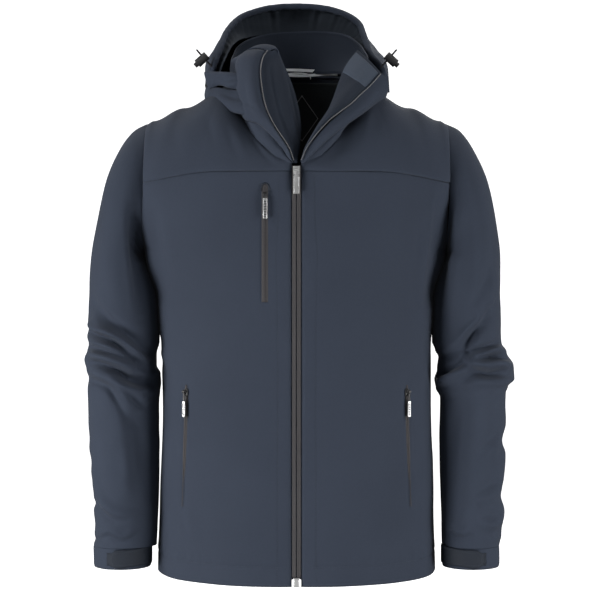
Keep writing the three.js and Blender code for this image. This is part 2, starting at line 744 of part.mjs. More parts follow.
// ---------------------------------------------------------------- sleeves
// Pairs of points on the sleeve's outer and inner outline, seen from the front, and half of its depth.
const UPPER_RINGS = [
  { out: [ARMHOLE_X, ARMHOLE_TOP], in: [ARMHOLE_X, UNDERARM], depth: ARMHOLE_DEPTH, y: 0 },
  { out: [243, -97], in: [224.5, -275], depth: 70, y: 0 },
  { out: [262, -124], in: [226, -281], depth: 74, y: -1 },
  { out: [281, -170], in: [226, -290], depth: 76, y: -2 },
  { out: [297, -245], in: [219, -314], depth: 75, y: -4 },
  { out: [308, -338], in: [210, -352], depth: 71, y: -6 },
  { out: [315, -395], in: [207, -400], depth: 68, y: -8 },
  { out: [318, ELBOW], in: [208, ELBOW], depth: 66, y: -10 },
];
const FOREARM_RINGS = [
  { out: [318, ELBOW], in: [208, ELBOW], depth: 66, y: -10 },
  { out: [315, -490], in: [208, -490], depth: 63, y: -14 },
  { out: [310, -560], in: [209, -560], depth: 60, y: -19 },
  { out: [305, -630], in: [210, -630], depth: 56, y: -23 },
  { out: [300, -670], in: [212, -670], depth: 53, y: -25 },
  { out: [297, CUFF_TOP], in: [213, CUFF_TOP], depth: 51, y: -26 },
];
const CUFF_RINGS = [
  { out: [297, CUFF_TOP], in: [213, CUFF_TOP], depth: 51, y: -26 },
  { out: [296, CUFF_BOTTOM], in: [214, CUFF_BOTTOM], depth: 50, y: -26 },
];

// A point of a sleeve: angle 0 is its outer line, 90 its front, 180 its inner line, in degrees.
function sleevePoint(rings, side, degrees, v) {
  const track = (pick) => curve(rings.map(pick)).getPoint(v);
  const outer = track((r) => [r.out[0], 0, r.out[1]]);
  const inner = track((r) => [r.in[0], 0, r.in[1]]);
  const size = track((r) => [r.depth, r.y, 0]);
  const angle = THREE.MathUtils.degToRad(degrees);
  const middle = outer.clone().add(inner).multiplyScalar(0.5);
  const p = middle.addScaledVector(outer.sub(inner), Math.cos(angle) / 2);
  return V(side * p.x, MID_Y + size.y - size.x * Math.sin(angle), p.z);
}

const ARM_GAP = 1.3; // round the armhole, where the sleeve turns
for (const [name, side] of SIDES) {
  const outward = V(side, 0, 0);
  const parts = [
    ["upper_sleeve", UPPER_RINGS, 10, [0, 0, ARM_GAP, SEAM / 2]],
    ["forearm", FOREARM_RINGS, 6, [0, 0, SEAM / 2, SEAM / 2]],
  ];
  for (const [part, rings, rows, trim] of parts) {
    const half = (from, to) => (u, v) => sleevePoint(rings, side, lerp(from, to, u), v);
    const edges = [SEAM / 2, SEAM / 2, trim[2], trim[3]];
    add(`${name}_${part}_top`, cloth(half(-90, 90), [8, rows], { out: outward, trim: edges }), "shell");
    add(
      `${name}_${part}_under`,
      cloth(half(90, 270), [8, rows], { out: outward.clone().negate(), trim: edges }),
      "shell",
    );
  }
  const cuffPoint = (from, to, low, high) => (u, v) =>
    sleevePoint(CUFF_RINGS, side, lerp(from, to, u), lerp(low, high, v));
  const cuff = cloth(cuffPoint(0, 360, 0, 1), [18, 1], {
    wall: CUFF_WALL,
    ring: true,
    out: outward.clone().negate(),
    trim: [0, 0, SEAM / 2, 0],
  });
  add(name + "_cuff", cuff, "shell");
  const hookPatch = cloth(cuffPoint(62, 112, 0.2, 0.8), [4, 1], {
    wall: 0.8,
    lift: 1.2,
    out: FORWARD,
    trim: [0, 0, 0, 0],
  });
  add(name + "_cuff_hook_patch", hookPatch, "black");
  const tab = cloth(cuffPoint(70, 166, 0.08, 0.86), [8, 1], {
    wall: 1.8,
    lift: 3.6,
    out: FORWARD,
    trim: [0, 0, 0, 0],
  });
  add(name + "_cuff_tab", tab, "black");
}

export default jacket;
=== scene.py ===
"""A foul weather jacket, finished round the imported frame: cloth, collar, hood, zips, cuffs and trims.

Every outline is given in millimetres in the frame's own axes: the wearer faces -Y, +X is the wearer's
left, +Z is up, and the origin is the underside of the hanger loop. Meshes are written in metres.
"""

from __future__ import annotations

import logging
import math
from dataclasses import dataclass, field
from enum import Enum
from typing import Iterable, Sequence

import bmesh
import bpy
import numpy as np
from mathutils import Matrix, Vector

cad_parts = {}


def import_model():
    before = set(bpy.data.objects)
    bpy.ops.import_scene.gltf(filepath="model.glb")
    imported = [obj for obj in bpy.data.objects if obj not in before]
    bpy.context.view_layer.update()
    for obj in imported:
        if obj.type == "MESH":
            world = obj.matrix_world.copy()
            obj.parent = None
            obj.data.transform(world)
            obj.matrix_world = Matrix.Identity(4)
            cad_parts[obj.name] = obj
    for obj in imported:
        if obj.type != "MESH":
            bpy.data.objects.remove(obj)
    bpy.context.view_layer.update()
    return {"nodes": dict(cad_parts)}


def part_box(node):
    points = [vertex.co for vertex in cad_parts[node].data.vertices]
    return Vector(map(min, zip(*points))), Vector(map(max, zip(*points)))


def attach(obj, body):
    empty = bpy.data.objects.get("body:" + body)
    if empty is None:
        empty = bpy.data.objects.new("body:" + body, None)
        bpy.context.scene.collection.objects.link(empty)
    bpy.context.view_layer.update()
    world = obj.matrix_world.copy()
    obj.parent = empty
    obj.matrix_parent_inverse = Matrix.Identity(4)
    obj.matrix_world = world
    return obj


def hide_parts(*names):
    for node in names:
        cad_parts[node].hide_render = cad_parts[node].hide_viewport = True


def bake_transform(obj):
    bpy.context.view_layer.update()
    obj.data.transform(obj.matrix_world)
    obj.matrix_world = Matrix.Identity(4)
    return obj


LOG = logging.getLogger("jacket")
MM = 0.001
SMALLEST_SHEET = 0.011  # metres; declare() stops early for narrower cloth
Point = tuple[float, float, float]
Grid = np.ndarray


class Side(Enum):
    """The wearer's side; the value is the sign of X."""

    RIGHT = -1
    LEFT = 1

    @property
    def label(self) -> str:
        """The word that the frame's names start with."""
        return self.name.lower()


class Face(Enum):
    """Front or back of the body; the value is the sign of Y."""

    FRONT = -1
    BACK = 1


# ------------------------------------------------------------------ numbers and curves


class Held(Enum):
    """How a sheet of cloth is held."""

    HUNG = "hung"
    FOLDED = "folded"
    GATHERED = "gathered"
    STRETCHED = "stretched"


def smooth(low: float, high: float, value: np.ndarray) -> np.ndarray:
    """Rises smoothly from 0 at `low` to 1 at `high`."""
    t = np.clip((np.asarray(value, float) - low) / (high - low), 0.0, 1.0)
    return t * t * (3.0 - 2.0 * t)


def mix(a: np.ndarray, b: np.ndarray, t: np.ndarray) -> np.ndarray:
    """The value t of the way from a to b."""
    return a + (b - a) * t


def through(points: Sequence[Sequence[float]], t: np.ndarray) -> np.ndarray:
    """Places on the Catmull-Rom curve through the points.

    Args:
        points: The points, each of any number of coordinates.
        t: Places along the curve, 0 at the first point and 1 at the last.

    Returns:
        An array of t's shape with one more axis for the coordinates.
    """
    p = np.asarray(points, float)
    count = len(p) - 1
    padded = np.vstack([2 * p[0] - p[1], p, 2 * p[-1] - p[-2]])
    place = np.clip(np.asarray(t, float), 0.0, 1.0) * count
    i = np.minimum(place.astype(int), count - 1)
    f = (place - i)[..., None]
    a, b, c, d = (padded[i + k] for k in range(4))
    return 0.5 * (2 * b + (c - a) * f + (2 * a - 5 * b + 4 * c - d) * f**2 + (3 * b - a - 3 * c + d) * f**3)


def along(pairs: Sequence[tuple[float, float]], place: np.ndarray) -> np.ndarray:
    """A value eased between pairs of (place, value) given in rising order of place."""
    place = np.asarray(place, float)
    xs = np.array([p[0] for p in pairs], float)
    ys = np.array([p[1] for p in pairs], float)
    i = np.clip(np.searchsorted(xs, place) - 1, 0, len(xs) - 2)
    t = smooth(0.0, 1.0, (place - xs[i]) / (xs[i + 1] - xs[i]))
    return mix(ys[i], ys[i + 1], t)


def waves(points: Grid, size: float, seed: int, stretch: Point = (1.0, 1.0, 1.0)) -> np.ndarray:
    """Soft random swells between about -1 and 1.

    Args:
        points: Places in millimetres.
        size: Length of a swell in millimetres.
        seed: Seed of the swells.
        stretch: How much longer the swells are along each axis.

    Returns:
        One height for each place.
    """
    rng = np.random.default_rng(seed)
    total = np.zeros(points.shape[:-1])
    for _ in range(9):
        direction = rng.normal(size=3)
        direction /= np.linalg.norm(direction)
        direction = direction / np.asarray(stretch)
        rate = 2 * math.pi / (size * rng.uniform(0.7, 1.5))
        total += np.sin(points @ direction * rate + rng.uniform(0, 2 * math.pi))
    return total / 3.6


# ------------------------------------------------------------------ cloth


def normals_of(points: Grid, outward: Point, ring: bool = False) -> Grid:
    """Unit normals of a grid of points, pointing the way of `outward` at its middle."""
    if ring:
        across = np.roll(points, -1, axis=1) - np.roll(points, 1, axis=1)
    else:
        across = np.gradient(points, axis=1)
    normals = np.cross(across, np.gradient(points, axis=0))
    size = np.linalg.norm(normals, axis=-1, keepdims=True)
    normals = normals / np.maximum(size, 1e-9)
    middle = normals[normals.shape[0] // 2, normals.shape[1] // 2]
    return normals if float(middle @ np.asarray(outward, float)) >= 0 else -normals


def edge_distance(points: Grid) -> tuple[np.ndarray, np.ndarray, np.ndarray, np.ndarray]:
    """Millimetres of cloth from each place to the edges u=0, u=1, v=0 and v=1."""
    du = np.linalg.norm(np.diff(points, axis=1), axis=-1)
    dv = np.linalg.norm(np.diff(points, axis=0), axis=-1)
    u = np.concatenate([np.zeros((points.shape[0], 1)), np.cumsum(du, axis=1)], axis=1)
    v = np.concatenate([np.zeros((1, points.shape[1])), np.cumsum(dv, axis=0)], axis=0)
    return u, u[:, -1:] - u, v, v[-1:, :] - v


@dataclass(frozen=True)
class Turned:
    """How far the cloth's edges turn in, in millimetres, at u=0, u=1, v=0 and v=1."""

    u0: float = 0.0
    u1: float = 0.0
    v0: float = 0.0
    v1: float = 0.0
    width: float = 2.6

    def sink(self, points: Grid) -> np.ndarray:
        """Depth of each place below the cloth's face."""
        depths = (self.u0, self.u1, self.v0, self.v1)
        total = np.zeros(points.shape[:-1])
        for depth, distance in zip(depths, edge_distance(points)):
            if depth:
                total += depth * np.exp(-((distance / self.width) ** 2))
        return total


def mesh_object(
    name: str, vertices: np.ndarray, faces: list, uv: np.ndarray | None = None
) -> bpy.types.Object:
    """A smooth-shaded object from vertices in metres.

    Args:
        name: The piece's name.
        vertices: One row for each vertex.
        faces: Vertex numbers of each face.
        uv: One row for each vertex, in metres of cloth.

    Returns:
        The linked object.
    """
    mesh = bpy.data.meshes.new(name)
    mesh.from_pydata(vertices.tolist(), [], faces)
    mesh.update()
    if uv is not None:
        layer = mesh.uv_layers.new(name="cloth")
        corners = np.zeros(len(mesh.loops), np.int32)
        mesh.loops.foreach_get("vertex_index", corners)
        layer.data.foreach_set("uv", uv[corners].astype(np.float32).ravel())
    mesh.polygons.foreach_set("use_smooth", [True] * len(mesh.polygons))
    thing = bpy.data.objects.new(name, mesh)
    bpy.context.scene.collection.objects.link(thing)
    return thing


def cloth(
    name: str,
    points: Grid,
    outward: Point,
    wall: float = 1.3,
    turned: Turned = Turned(),
    ring: bool = False,
    normals: Grid | None = None,
    shade: bool = False,
) -> bpy.types.Object:
    """A closed piece of cloth of one thickness whose outer face is a grid of points.

    Args:
        name: The piece's name.
        points: Grid in millimetres, rows along v and columns along u.
        outward: The way the outer face looks at its middle.
        wall: Thickness in millimetres.
        turned: How the edges turn in.
        ring: Whether the grid closes on itself in u.
        normals: Normals to use in place of the grid's own.
        shade: Whether to shade with these normals, so that two pieces meet with no line.

    Returns:
        The piece.
    """
    rows, columns = points.shape[:2]
    n = normals_of(points, outward, ring) if normals is None else normals
    outer = points - n * turned.sink(points)[..., None]
    inner = outer - n * wall
    vertices = np.concatenate([outer.reshape(-1, 3), inner.reshape(-1, 3)]) * MM
    distances = edge_distance(points)
    flat = np.stack([distances[0], distances[2]], axis=-1).reshape(-1, 2) * MM
    uv = np.concatenate([flat, flat])
    layer = rows * columns
    index = np.arange(layer).reshape(rows, columns)
    if ring:
        index = np.concatenate([index, index[:, :1]], axis=1)
    quads = np.stack([index[:-1, :-1], index[:-1, 1:], index[1:, 1:], index[1:, :-1]], axis=-1).reshape(-1, 4)
    first = quads[len(quads) // 2]
    a, b, d = (vertices[first[k]] for k in (0, 1, 3))
    facing = float(np.cross(b - a, d - a) @ n.reshape(-1, 3)[first[0]])
    low, high = index[0], index[-1]
    walls = [
        np.stack([low[1:], low[:-1], low[:-1] + layer, low[1:] + layer], axis=-1),
        np.stack([high[:-1], high[1:], high[1:] + layer, high[:-1] + layer], axis=-1),
    ]
    if not ring:
        left, right = index[:, 0], index[:, -1]
        walls.append(np.stack([left[:-1], left[1:], left[1:] + layer, left[:-1] + layer], axis=-1))
        walls.append(np.stack([right[1:], right[:-1], right[:-1] + layer, right[1:] + layer], axis=-1))
    faces = np.concatenate([quads, quads[:, ::-1] + layer, *walls])
    if facing < 0:
        faces = faces[:, ::-1]
    piece = mesh_object(name, vertices, faces.tolist(), uv)
    if shade:
        both = np.concatenate([n.reshape(-1, 3), -n.reshape(-1, 3)])
        piece.data.normals_split_custom_set_from_vertices(both.tolist())
    declare(distances, ring)
    return piece


def declare(distances: tuple[np.ndarray, ...], ring: bool) -> None:
    """Works out a piece's flat size as a sheet, unrolled from the finished piece itself, and does nothing
    more with it.

    The size isn't a pattern piece's, so it says nothing about how far the cloth was stretched.

    Args:
        distances: Cloth from each place to the edges, as edge_distance gives it.
        ring: Whether the cloth closes on itself in u.
    """
    columns = distances[0].shape[1]
    width = float(distances[0][:, -1].max()) * (columns / (columns - 1) if ring else 1.0) * MM
    length = float(distances[2][-1].max()) * MM
    if min(width, length) < SMALLEST_SHEET:
        return


@dataclass(frozen=True)
class Fold:
    """A crease in the cloth: a ridge with a hollow under it, along a line seen from the front.

    The line's points are (x, z) in millimetres. A positive height is a ridge with its hollow on the
    right of the line's direction.
    """

    line: tuple[tuple[float, float], ...]
    height: float
    width: float
    hollow: float = 0.7
    open_ends: bool = False
    samples: int = 28

    def relief(self, points: Grid) -> np.ndarray:
        """Height of the crease at each place, from its x and z only."""
        t = np.linspace(0, 1, self.samples)
        line = through(self.line, t)
        flat = points[..., (0, 2)].reshape(-1, 2)
        reach = 4 * self.width
        near = np.all((flat > line.min(0) - reach) & (flat < line.max(0) + reach), axis=1)
        result = np.zeros(len(flat))
        if near.any():
            p = flat[near]
            start, step = line[:-1], np.diff(line, axis=0)
            rel = p[:, None, :] - start[None]
            f = np.clip((rel * step).sum(-1) / (step**2).sum(-1), 0, 1)
            gap = rel - f[..., None] * step
            distance = np.linalg.norm(gap, axis=-1)
            best = distance.argmin(1)
            rows = np.arange(len(p))
            turn = step[best, 0] * gap[rows, best, 1] - step[best, 1] * gap[rows, best, 0]
            s = np.sign(turn) * distance[rows, best] / self.width
            place = (best + f[rows, best]) / (self.samples - 1)
            fade = 1.0 if self.open_ends else np.sin(math.pi * np.clip(place, 0.02, 0.98)) ** 0.7
            shape = np.exp(-(s**2)) - self.hollow * np.exp(-(((s + 1.25) / 0.62) ** 2))
            result[near] = self.height * fade * shape
        return result.reshape(points.shape[:-1])


def creased(points: Grid, normals: Grid, folds: Iterable[Fold], face: float = 0.0) -> Grid:
    """The grid with creases pressed into it.

    Args:
        points: Grid in millimetres.
        normals: Its normals.
        folds: The creases.
        face: -1 keeps the creases on the front, 1 on the back, 0 everywhere.

    Returns:
        The creased grid.
    """
    total = sum((fold.relief(points) for fold in folds), np.zeros(points.shape[:-1]))
    if face:
        total = total * smooth(-0.1, 0.5, face * normals[..., 1])
    return points + normals * total[..., None]


def patch(rows: Sequence[Sequence[Point]], cells: tuple[int, int]) -> Grid:
    """A smooth surface through rows of points that all have the same count.

    Args:
        rows: The rows of points in millimetres.
        cells: Columns along a row, and rows from the first to the last.

    Returns:
        The grid.
    """
    u = np.linspace(0, 1, cells[0] + 1)
    v = np.linspace(0, 1, cells[1] + 1)
    threads = np.stack([through(row, u) for row in rows])
    return through(threads.reshape(len(rows), -1), v).reshape(cells[1] + 1, cells[0] + 1, 3)


# ------------------------------------------------------------------ the jacket's outline


@dataclass
class Outline:
    """The body's shape, taken from the frame's pieces. Millimetres."""

    roundness: float = 2.4
    back_depth: float = 116.0
    armhole_half_width: float = 64.0
    waist: float = 197.0
    hem_rise: float = 12.0
    zip_opening: float = 6.6
    neck_width: float = 88.0
    neck_back: float = 9.0
    neck_z: float = -4.0
    neck_drop: float = 146.0
    shoulder_turn: float = 0.44
    underarm: float = -270.0
    seam_drop: float = 13.0
    armhole_top: float = -84.0
    yoke_seam: float = field(init=False)
    back_seam: float = field(init=False)
    hem: float = field(init=False)
    armhole_x: float = field(init=False)
    front_y: float = field(init=False)
    mid_y: float = field(init=False)

    def __post_init__(self) -> None:
        """Reads the driving places from the frame."""
        low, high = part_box("left_front_panel")
        self.hem = low[2] / MM
        self.yoke_seam = high[2] / MM + 0.3
        self.front_y = low[1] / MM
        self.mid_y = self.front_y + 126.0
        self.armhole_x = high[0] / MM
        self.back_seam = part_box("back_panel")[1][2] / MM + 0.3

    @property
    def front_depth(self) -> float:
        """From the middle of the body to its front."""
        return self.mid_y - self.front_y

    def half_width(self, z: np.ndarray) -> np.ndarray:
        """Half of the body's width at each height."""
        profile = (
            (self.hem, 204.0),
            (-640.0, 201.0),
            (-500.0, self.waist),
            (-420.0, self.waist + 1.0),
            (-344.0, self.waist + 7.0),
            (self.underarm, self.armhole_x),
        )
        return along(profile, z)

    def armhole_y(self, z: np.ndarray) -> np.ndarray:
        """Half of the armhole's width at each height."""
        middle = (self.armhole_top + self.underarm) / 2
        half = (self.armhole_top - self.underarm) / 2
        return self.armhole_half_width * np.sqrt(np.maximum(1 - ((z - middle) / half) ** 2, 0))

    def slice_ends(self, z: np.ndarray, face: Face) -> tuple[np.ndarray, np.ndarray, float]:
        """Half-width of a slice's oval, the angle at which the panel ends, and the oval's depth."""
        depth = self.front_depth if face is Face.FRONT else self.back_depth
        n = self.roundness
        above = z > self.underarm
        wide_above = self.armhole_x / np.maximum(1 - (self.armhole_y(z) / depth) ** n, 1e-6) ** (1 / n)
        wide = np.where(above, wide_above, self.half_width(z))
        end = np.where(above, np.arcsin(np.clip((self.armhole_x / wide) ** (n / 2), 0, 1)), math.pi / 2)
        return wide, end, depth

    def on_slice(self, angle: np.ndarray, wide: np.ndarray, depth: float, z: np.ndarray, face: Face) -> Grid:
        """Places on a slice's oval; angle 0 is the centre line."""
        power = 2 / self.roundness
        x = wide * np.clip(np.sin(angle), 0, 1) ** power
        y = self.mid_y + face.value * depth * np.clip(np.cos(angle), 0, 1) ** power
        return np.stack([x, y, z], axis=-1)

    def surface(self, x: np.ndarray, z: np.ndarray, face: Face = Face.FRONT) -> Grid:
        """Places of the body's face at each |x| and z."""
        x, z = np.broadcast_arrays(np.abs(np.asarray(x, float)), np.asarray(z, float))
        wide, _, depth = self.slice_ends(z, face)
        share = np.clip(x / wide, 0, 1) ** self.roundness
        y = self.mid_y + face.value * depth * (1 - share) ** (1 / self.roundness)
        return np.stack([x, y, z], axis=-1)

    def seam(self, face: Face, u: np.ndarray) -> np.ndarray:
        """Height of the seam between a panel and its yoke, lower towards the armhole."""
        level = self.yoke_seam if face is Face.FRONT else self.back_seam
        return level - self.seam_drop * smooth(0.35, 1.0, u)

    def panel(self, face: Face, start: float, cells: tuple[int, int], low: float | None = None) -> Grid:
        """Half of a body face from the distance `start` off the centre line to the side seam or armhole.

        Args:
            face: Front or back.
            start: Distance from the centre line, in millimetres.
            cells: Columns and rows of the grid.
            low: Height of the lower edge, where it isn't the hem.

        Returns:
            The grid on the wearer's left, hem first.
        """
        u = np.linspace(0, 1, cells[0] + 1)[None, :]
        v = np.linspace(0, 1, cells[1] + 1)[:, None]
        top = self.seam(face, u)
        bottom = self.hem + self.hem_rise * u**2 if low is None else low + 0 * u
        z = mix(bottom, top, v)
        wide, end, depth = self.slice_ends(z, face)
        begin = np.arcsin(np.clip((start / wide) ** (self.roundness / 2), 0, 1))
        return self.on_slice(mix(begin, end, u), wide, depth, z, face)

    def neck(self, turn: np.ndarray) -> Grid:
        """The neck seam: turn 0 is the back centre, 1 the front on the wearer's left, -1 on the right."""
        angle = np.asarray(turn, float) * math.pi
        reach = (self.neck_back - self.front_y) / 2
        fall = np.maximum((1 - np.cos(angle)) / 2, 0) ** 2.2
        x = self.neck_width * np.sin(angle)
        y = self.neck_back - reach + reach * np.cos(angle)
        return np.stack([x, y, self.neck_z - self.neck_drop * fall], axis=-1)

    def shoulder(self, share: np.ndarray) -> Grid:
        """The shoulder line from the neck, share 0, to the armhole, share 1."""
        start = self.neck(np.array(self.shoulder_turn))
        x = mix(start[0], self.armhole_x, share)
        y = mix(start[1], self.mid_y, smooth(0, 0.5, share))
        z = along(((start[0], start[2]), (165, -60), (211, -79), (self.armhole_x, self.armhole_top)), x)
        return np.stack([x, y, z], axis=-1)

    def yoke(self, face: Face, cells: tuple[int, int]) -> Grid:
        """Half of a yoke, from its seam with the panel up to the neck and shoulder."""
        u = np.linspace(0, 1, cells[0] + 1)
        v = np.linspace(0, 1, cells[1] + 1)[:, None, None]
        front = face is Face.FRONT
        z = self.seam(face, u)
        wide, end, depth = self.slice_ends(z, face)
        begin = np.arcsin((self.zip_opening / wide) ** (self.roundness / 2)) if front else 0 * u
        low = self.on_slice(mix(begin, end, u), wide, depth, z, face)
        t = np.clip(u / 0.5, 0, 1)
        last = 1 - math.asin((self.zip_opening + 0.3) / self.neck_width) / math.pi if front else 0.0
        turn = mix(np.full_like(u, last), self.shoulder_turn, t)
        top = np.where((u < 0.5)[:, None], self.neck(turn), self.shoulder(np.clip((u - 0.5) / 0.5, 0, 1)))
        bend = mix(0.5, 0.93, smooth(0, 0.4, u)) if front else np.full_like(u, 0.9)
        control = np.stack(
            [(low[:, 0] + top[:, 0]) / 2, mix(top[:, 1], low[:, 1], bend), mix(low[:, 2], top[:, 2], bend)],
            axis=-1,
        )
        return low * (1 - v) ** 2 + control * 2 * v * (1 - v) + top * v**2


def mirrored(points: Grid, side: Side) -> Grid:
    """The grid on the given side, from one on the wearer's left."""
    return points * np.array([side.value, 1.0, 1.0])


# ------------------------------------------------------------------ finishes


def weave_group() -> bpy.types.NodeTree:
    """The shared weave: cloth coordinates in, thread height and tint out."""
    found = bpy.data.node_groups.get("weave")
    if found:
        return found
    tree = bpy.data.node_groups.new("weave", "ShaderNodeTree")
    sockets = tree.interface
    sockets.new_socket("Cloth", in_out="INPUT", socket_type="NodeSocketVector")
    for title, value in (("Threads", 900.0), ("Mottle", 0.12), ("Wear", 0.1)):
        socket = sockets.new_socket(title, in_out="INPUT", socket_type="NodeSocketFloat")
        socket.default_value = value
    sockets.new_socket("Height", in_out="OUTPUT", socket_type="NodeSocketFloat")
    sockets.new_socket("Tint", in_out="OUTPUT", socket_type="NodeSocketFloat")
    nodes, links = tree.nodes, tree.links
    inside = nodes.new("NodeGroupInput")
    outside = nodes.new("NodeGroupOutput")
    place = nodes.new("ShaderNodeTexCoord")
    heights = []
    for axis in ("X", "Y"):
        wave = nodes.new("ShaderNodeTexWave")
        wave.bands_direction = axis
        wave.inputs["Distortion"].default_value = 0.6
        wave.inputs["Detail"].default_value = 1.0
        links.new(inside.outputs["Cloth"], wave.inputs["Vector"])
        links.new(inside.outputs["Threads"], wave.inputs["Scale"])
        heights.append(wave)
    cross = nodes.new("ShaderNodeMath")
    cross.operation = "MULTIPLY"
    links.new(heights[0].outputs["Fac"], cross.inputs[0])
    links.new(heights[1].outputs["Fac"], cross.inputs[1])
    links.new(cross.outputs[0], outside.inputs["Height"])
    cloud = nodes.new("ShaderNodeTexNoise")
    cloud.inputs["Scale"].default_value = 11.0
    cloud.inputs["Detail"].default_value = 4.0
    links.new(place.outputs["Object"], cloud.inputs["Vector"])
    grain = nodes.new("ShaderNodeTexNoise")
    grain.inputs["Scale"].default_value = 420.0
    grain.inputs["Detail"].default_value = 2.0
    links.new(place.outputs["Object"], grain.inputs["Vector"])
    swing = nodes.new("ShaderNodeMath")
    swing.operation = "MULTIPLY_ADD"
    links.new(cloud.outputs["Fac"], swing.inputs[0])
    links.new(inside.outputs["Mottle"], swing.inputs[1])
    swing.inputs[2].default_value = 0.0
    fleck = nodes.new("ShaderNodeMath")
    fleck.operation = "MULTIPLY_ADD"
    links.new(grain.outputs["Fac"], fleck.inputs[0])
    links.new(inside.outputs["Wear"], fleck.inputs[1])
    links.new(swing.outputs[0], fleck.inputs[2])
    links.new(fleck.outputs[0], outside.inputs["Tint"])
    return tree


@dataclass(frozen=True)
class ClothFinish:
    """A woven or knitted cloth. Colours are linear."""

    name: str
    slot: str
    dark: tuple[float, float, float]
    light: tuple[float, float, float]
    roughness: float = 0.82
    threads: float = 900.0
    bump: float = 0.25
    mottle: float = 0.5
    wear: float = 0.5
    sheen: float = 0.0
    specular: float = 0.16

    def material(self) -> bpy.types.Material:
        """The finish as a material, made once."""
        found = bpy.data.materials.get(self.name)
        if found:
            return found
        material = bpy.data.materials.new(self.name)
        material.use_nodes = True
        nodes, links = material.node_tree.nodes, material.node_tree.links
        shader = nodes["Principled BSDF"]
        shader.inputs["Roughness"].default_value = self.roughness
        shader.inputs["Specular IOR Level"].default_value = self.specular
        if self.sheen:
            shader.inputs["Sheen Weight"].default_value = self.sheen
            shader.inputs["Sheen Roughness"].default_value = 0.5
        uv = nodes.new("ShaderNodeUVMap")
        uv.uv_map = "cloth"
        weave = nodes.new("ShaderNodeGroup")
        weave.node_tree = weave_group()
        weave.inputs["Threads"].default_value = self.threads
        weave.inputs["Mottle"].default_value = self.mottle
        weave.inputs["Wear"].default_value = self.wear
        links.new(uv.outputs["UV"], weave.inputs["Cloth"])
        ramp = nodes.new("ShaderNodeMix")
        ramp.data_type = "RGBA"
        ramp.inputs["A"].default_value = (*self.dark, 1.0)
        ramp.inputs["B"].default_value = (*self.light, 1.0)
        links.new(weave.outputs["Tint"], ramp.inputs["Factor"])
        links.new(ramp.outputs["Result"], shader.inputs["Base Color"])
        bump = nodes.new("ShaderNodeBump")
        bump.inputs["Strength"].default_value = self.bump
        bump.inputs["Distance"].default_value = 0.0003
        links.new(weave.outputs["Height"], bump.inputs["Height"])
        links.new(bump.outputs["Normal"], shader.inputs["Normal"])
        return material

    def dress(self, piece: bpy.types.Object) -> bpy.types.Object:
        """Gives a piece this finish."""
        piece.data.materials.clear()
        piece.data.materials.append(self.material())
        return piece


@dataclass(frozen=True)
class HardFinish:
    """Metal or moulded plastic with fine scuffs. Colours are linear."""

    name: str
    slot: str
    color: tuple[float, float, float]
    metal: float
    roughness: float
    scuffs: float = 0.12

    def material(self) -> bpy.types.Material:
        """The finish as a material, made once."""
        found = bpy.data.materials.get(self.name)
        if found:
            return found
        material = bpy.data.materials.new(self.name)
        material.use_nodes = True
        nodes, links = material.node_tree.nodes, material.node_tree.links
        shader = nodes["Principled BSDF"]
        shader.inputs["Base Color"].default_value = (*self.color, 1.0)
        shader.inputs["Metallic"].default_value = self.metal
        place = nodes.new("ShaderNodeTexCoord")
        noise = nodes.new("ShaderNodeTexNoise")
        noise.inputs["Scale"].default_value = 700.0
        noise.inputs["Detail"].default_value = 3.0
        links.new(place.outputs["Object"], noise.inputs["Vector"])
        rough = nodes.new("ShaderNodeMapRange")
        rough.inputs["To Min"].default_value = self.roughness - self.scuffs
        rough.inputs["To Max"].default_value = self.roughness + self.scuffs
        links.new(noise.outputs["Fac"], rough.inputs["Value"])
        links.new(rough.outputs["Result"], shader.inputs["Roughness"])
        bump = nodes.new("ShaderNodeBump")
        bump.inputs["Strength"].default_value = 0.12
        bump.inputs["Distance"].default_value = 0.0002
        links.new(noise.outputs["Fac"], bump.inputs["Height"])
        links.new(bump.outputs["Normal"], shader.inputs["Normal"])
        return material

    def dress(self, piece: bpy.types.Object) -> bpy.types.Object:
        """Gives a piece this finish."""
        piece.data.materials.clear()
        piece.data.materials.append(self.material())
        return piece


SHELL = ClothFinish("navy_softshell", "shell", (0.0145, 0.0195, 0.031), (0.024, 0.031, 0.047), sheen=0.04)
# Painted shade: the facing's navy is darker than the shell's so that it stands for the shade inside the
# collar. The collar lining, lapel, zip facing and wind flap all wear it.
FACING_PAINTED_SHADE = ClothFinish("navy_facing", "facing", (0.0105, 0.014, 0.022), (0.018, 0.0235, 0.035), 0.88, 700.0)
BINDING = ClothFinish("pale_navy_binding", "facing", (0.032, 0.042, 0.060), (0.048, 0.060, 0.082), 0.8, 600.0)
LINING = ClothFinish("dark_lining", "lining", (0.010, 0.012, 0.014), (0.020, 0.024, 0.027), 0.6, 1200.0, 0.15)
ZIP_CLOTH = ClothFinish("coil_zip_tape", "zip_tape", (0.024, 0.023, 0.025), (0.048, 0.045, 0.047), 0.6, 500.0)
WEBBING = ClothFinish("pale_webbing", "trim_webbing", (0.66, 0.69, 0.72), (0.80, 0.82, 0.84), 0.7, 500.0)
LABEL_PRINT = ClothFinish("grey_label_print", "trim_webbing", (0.28, 0.28, 0.29), (0.36, 0.36, 0.37), 0.7)
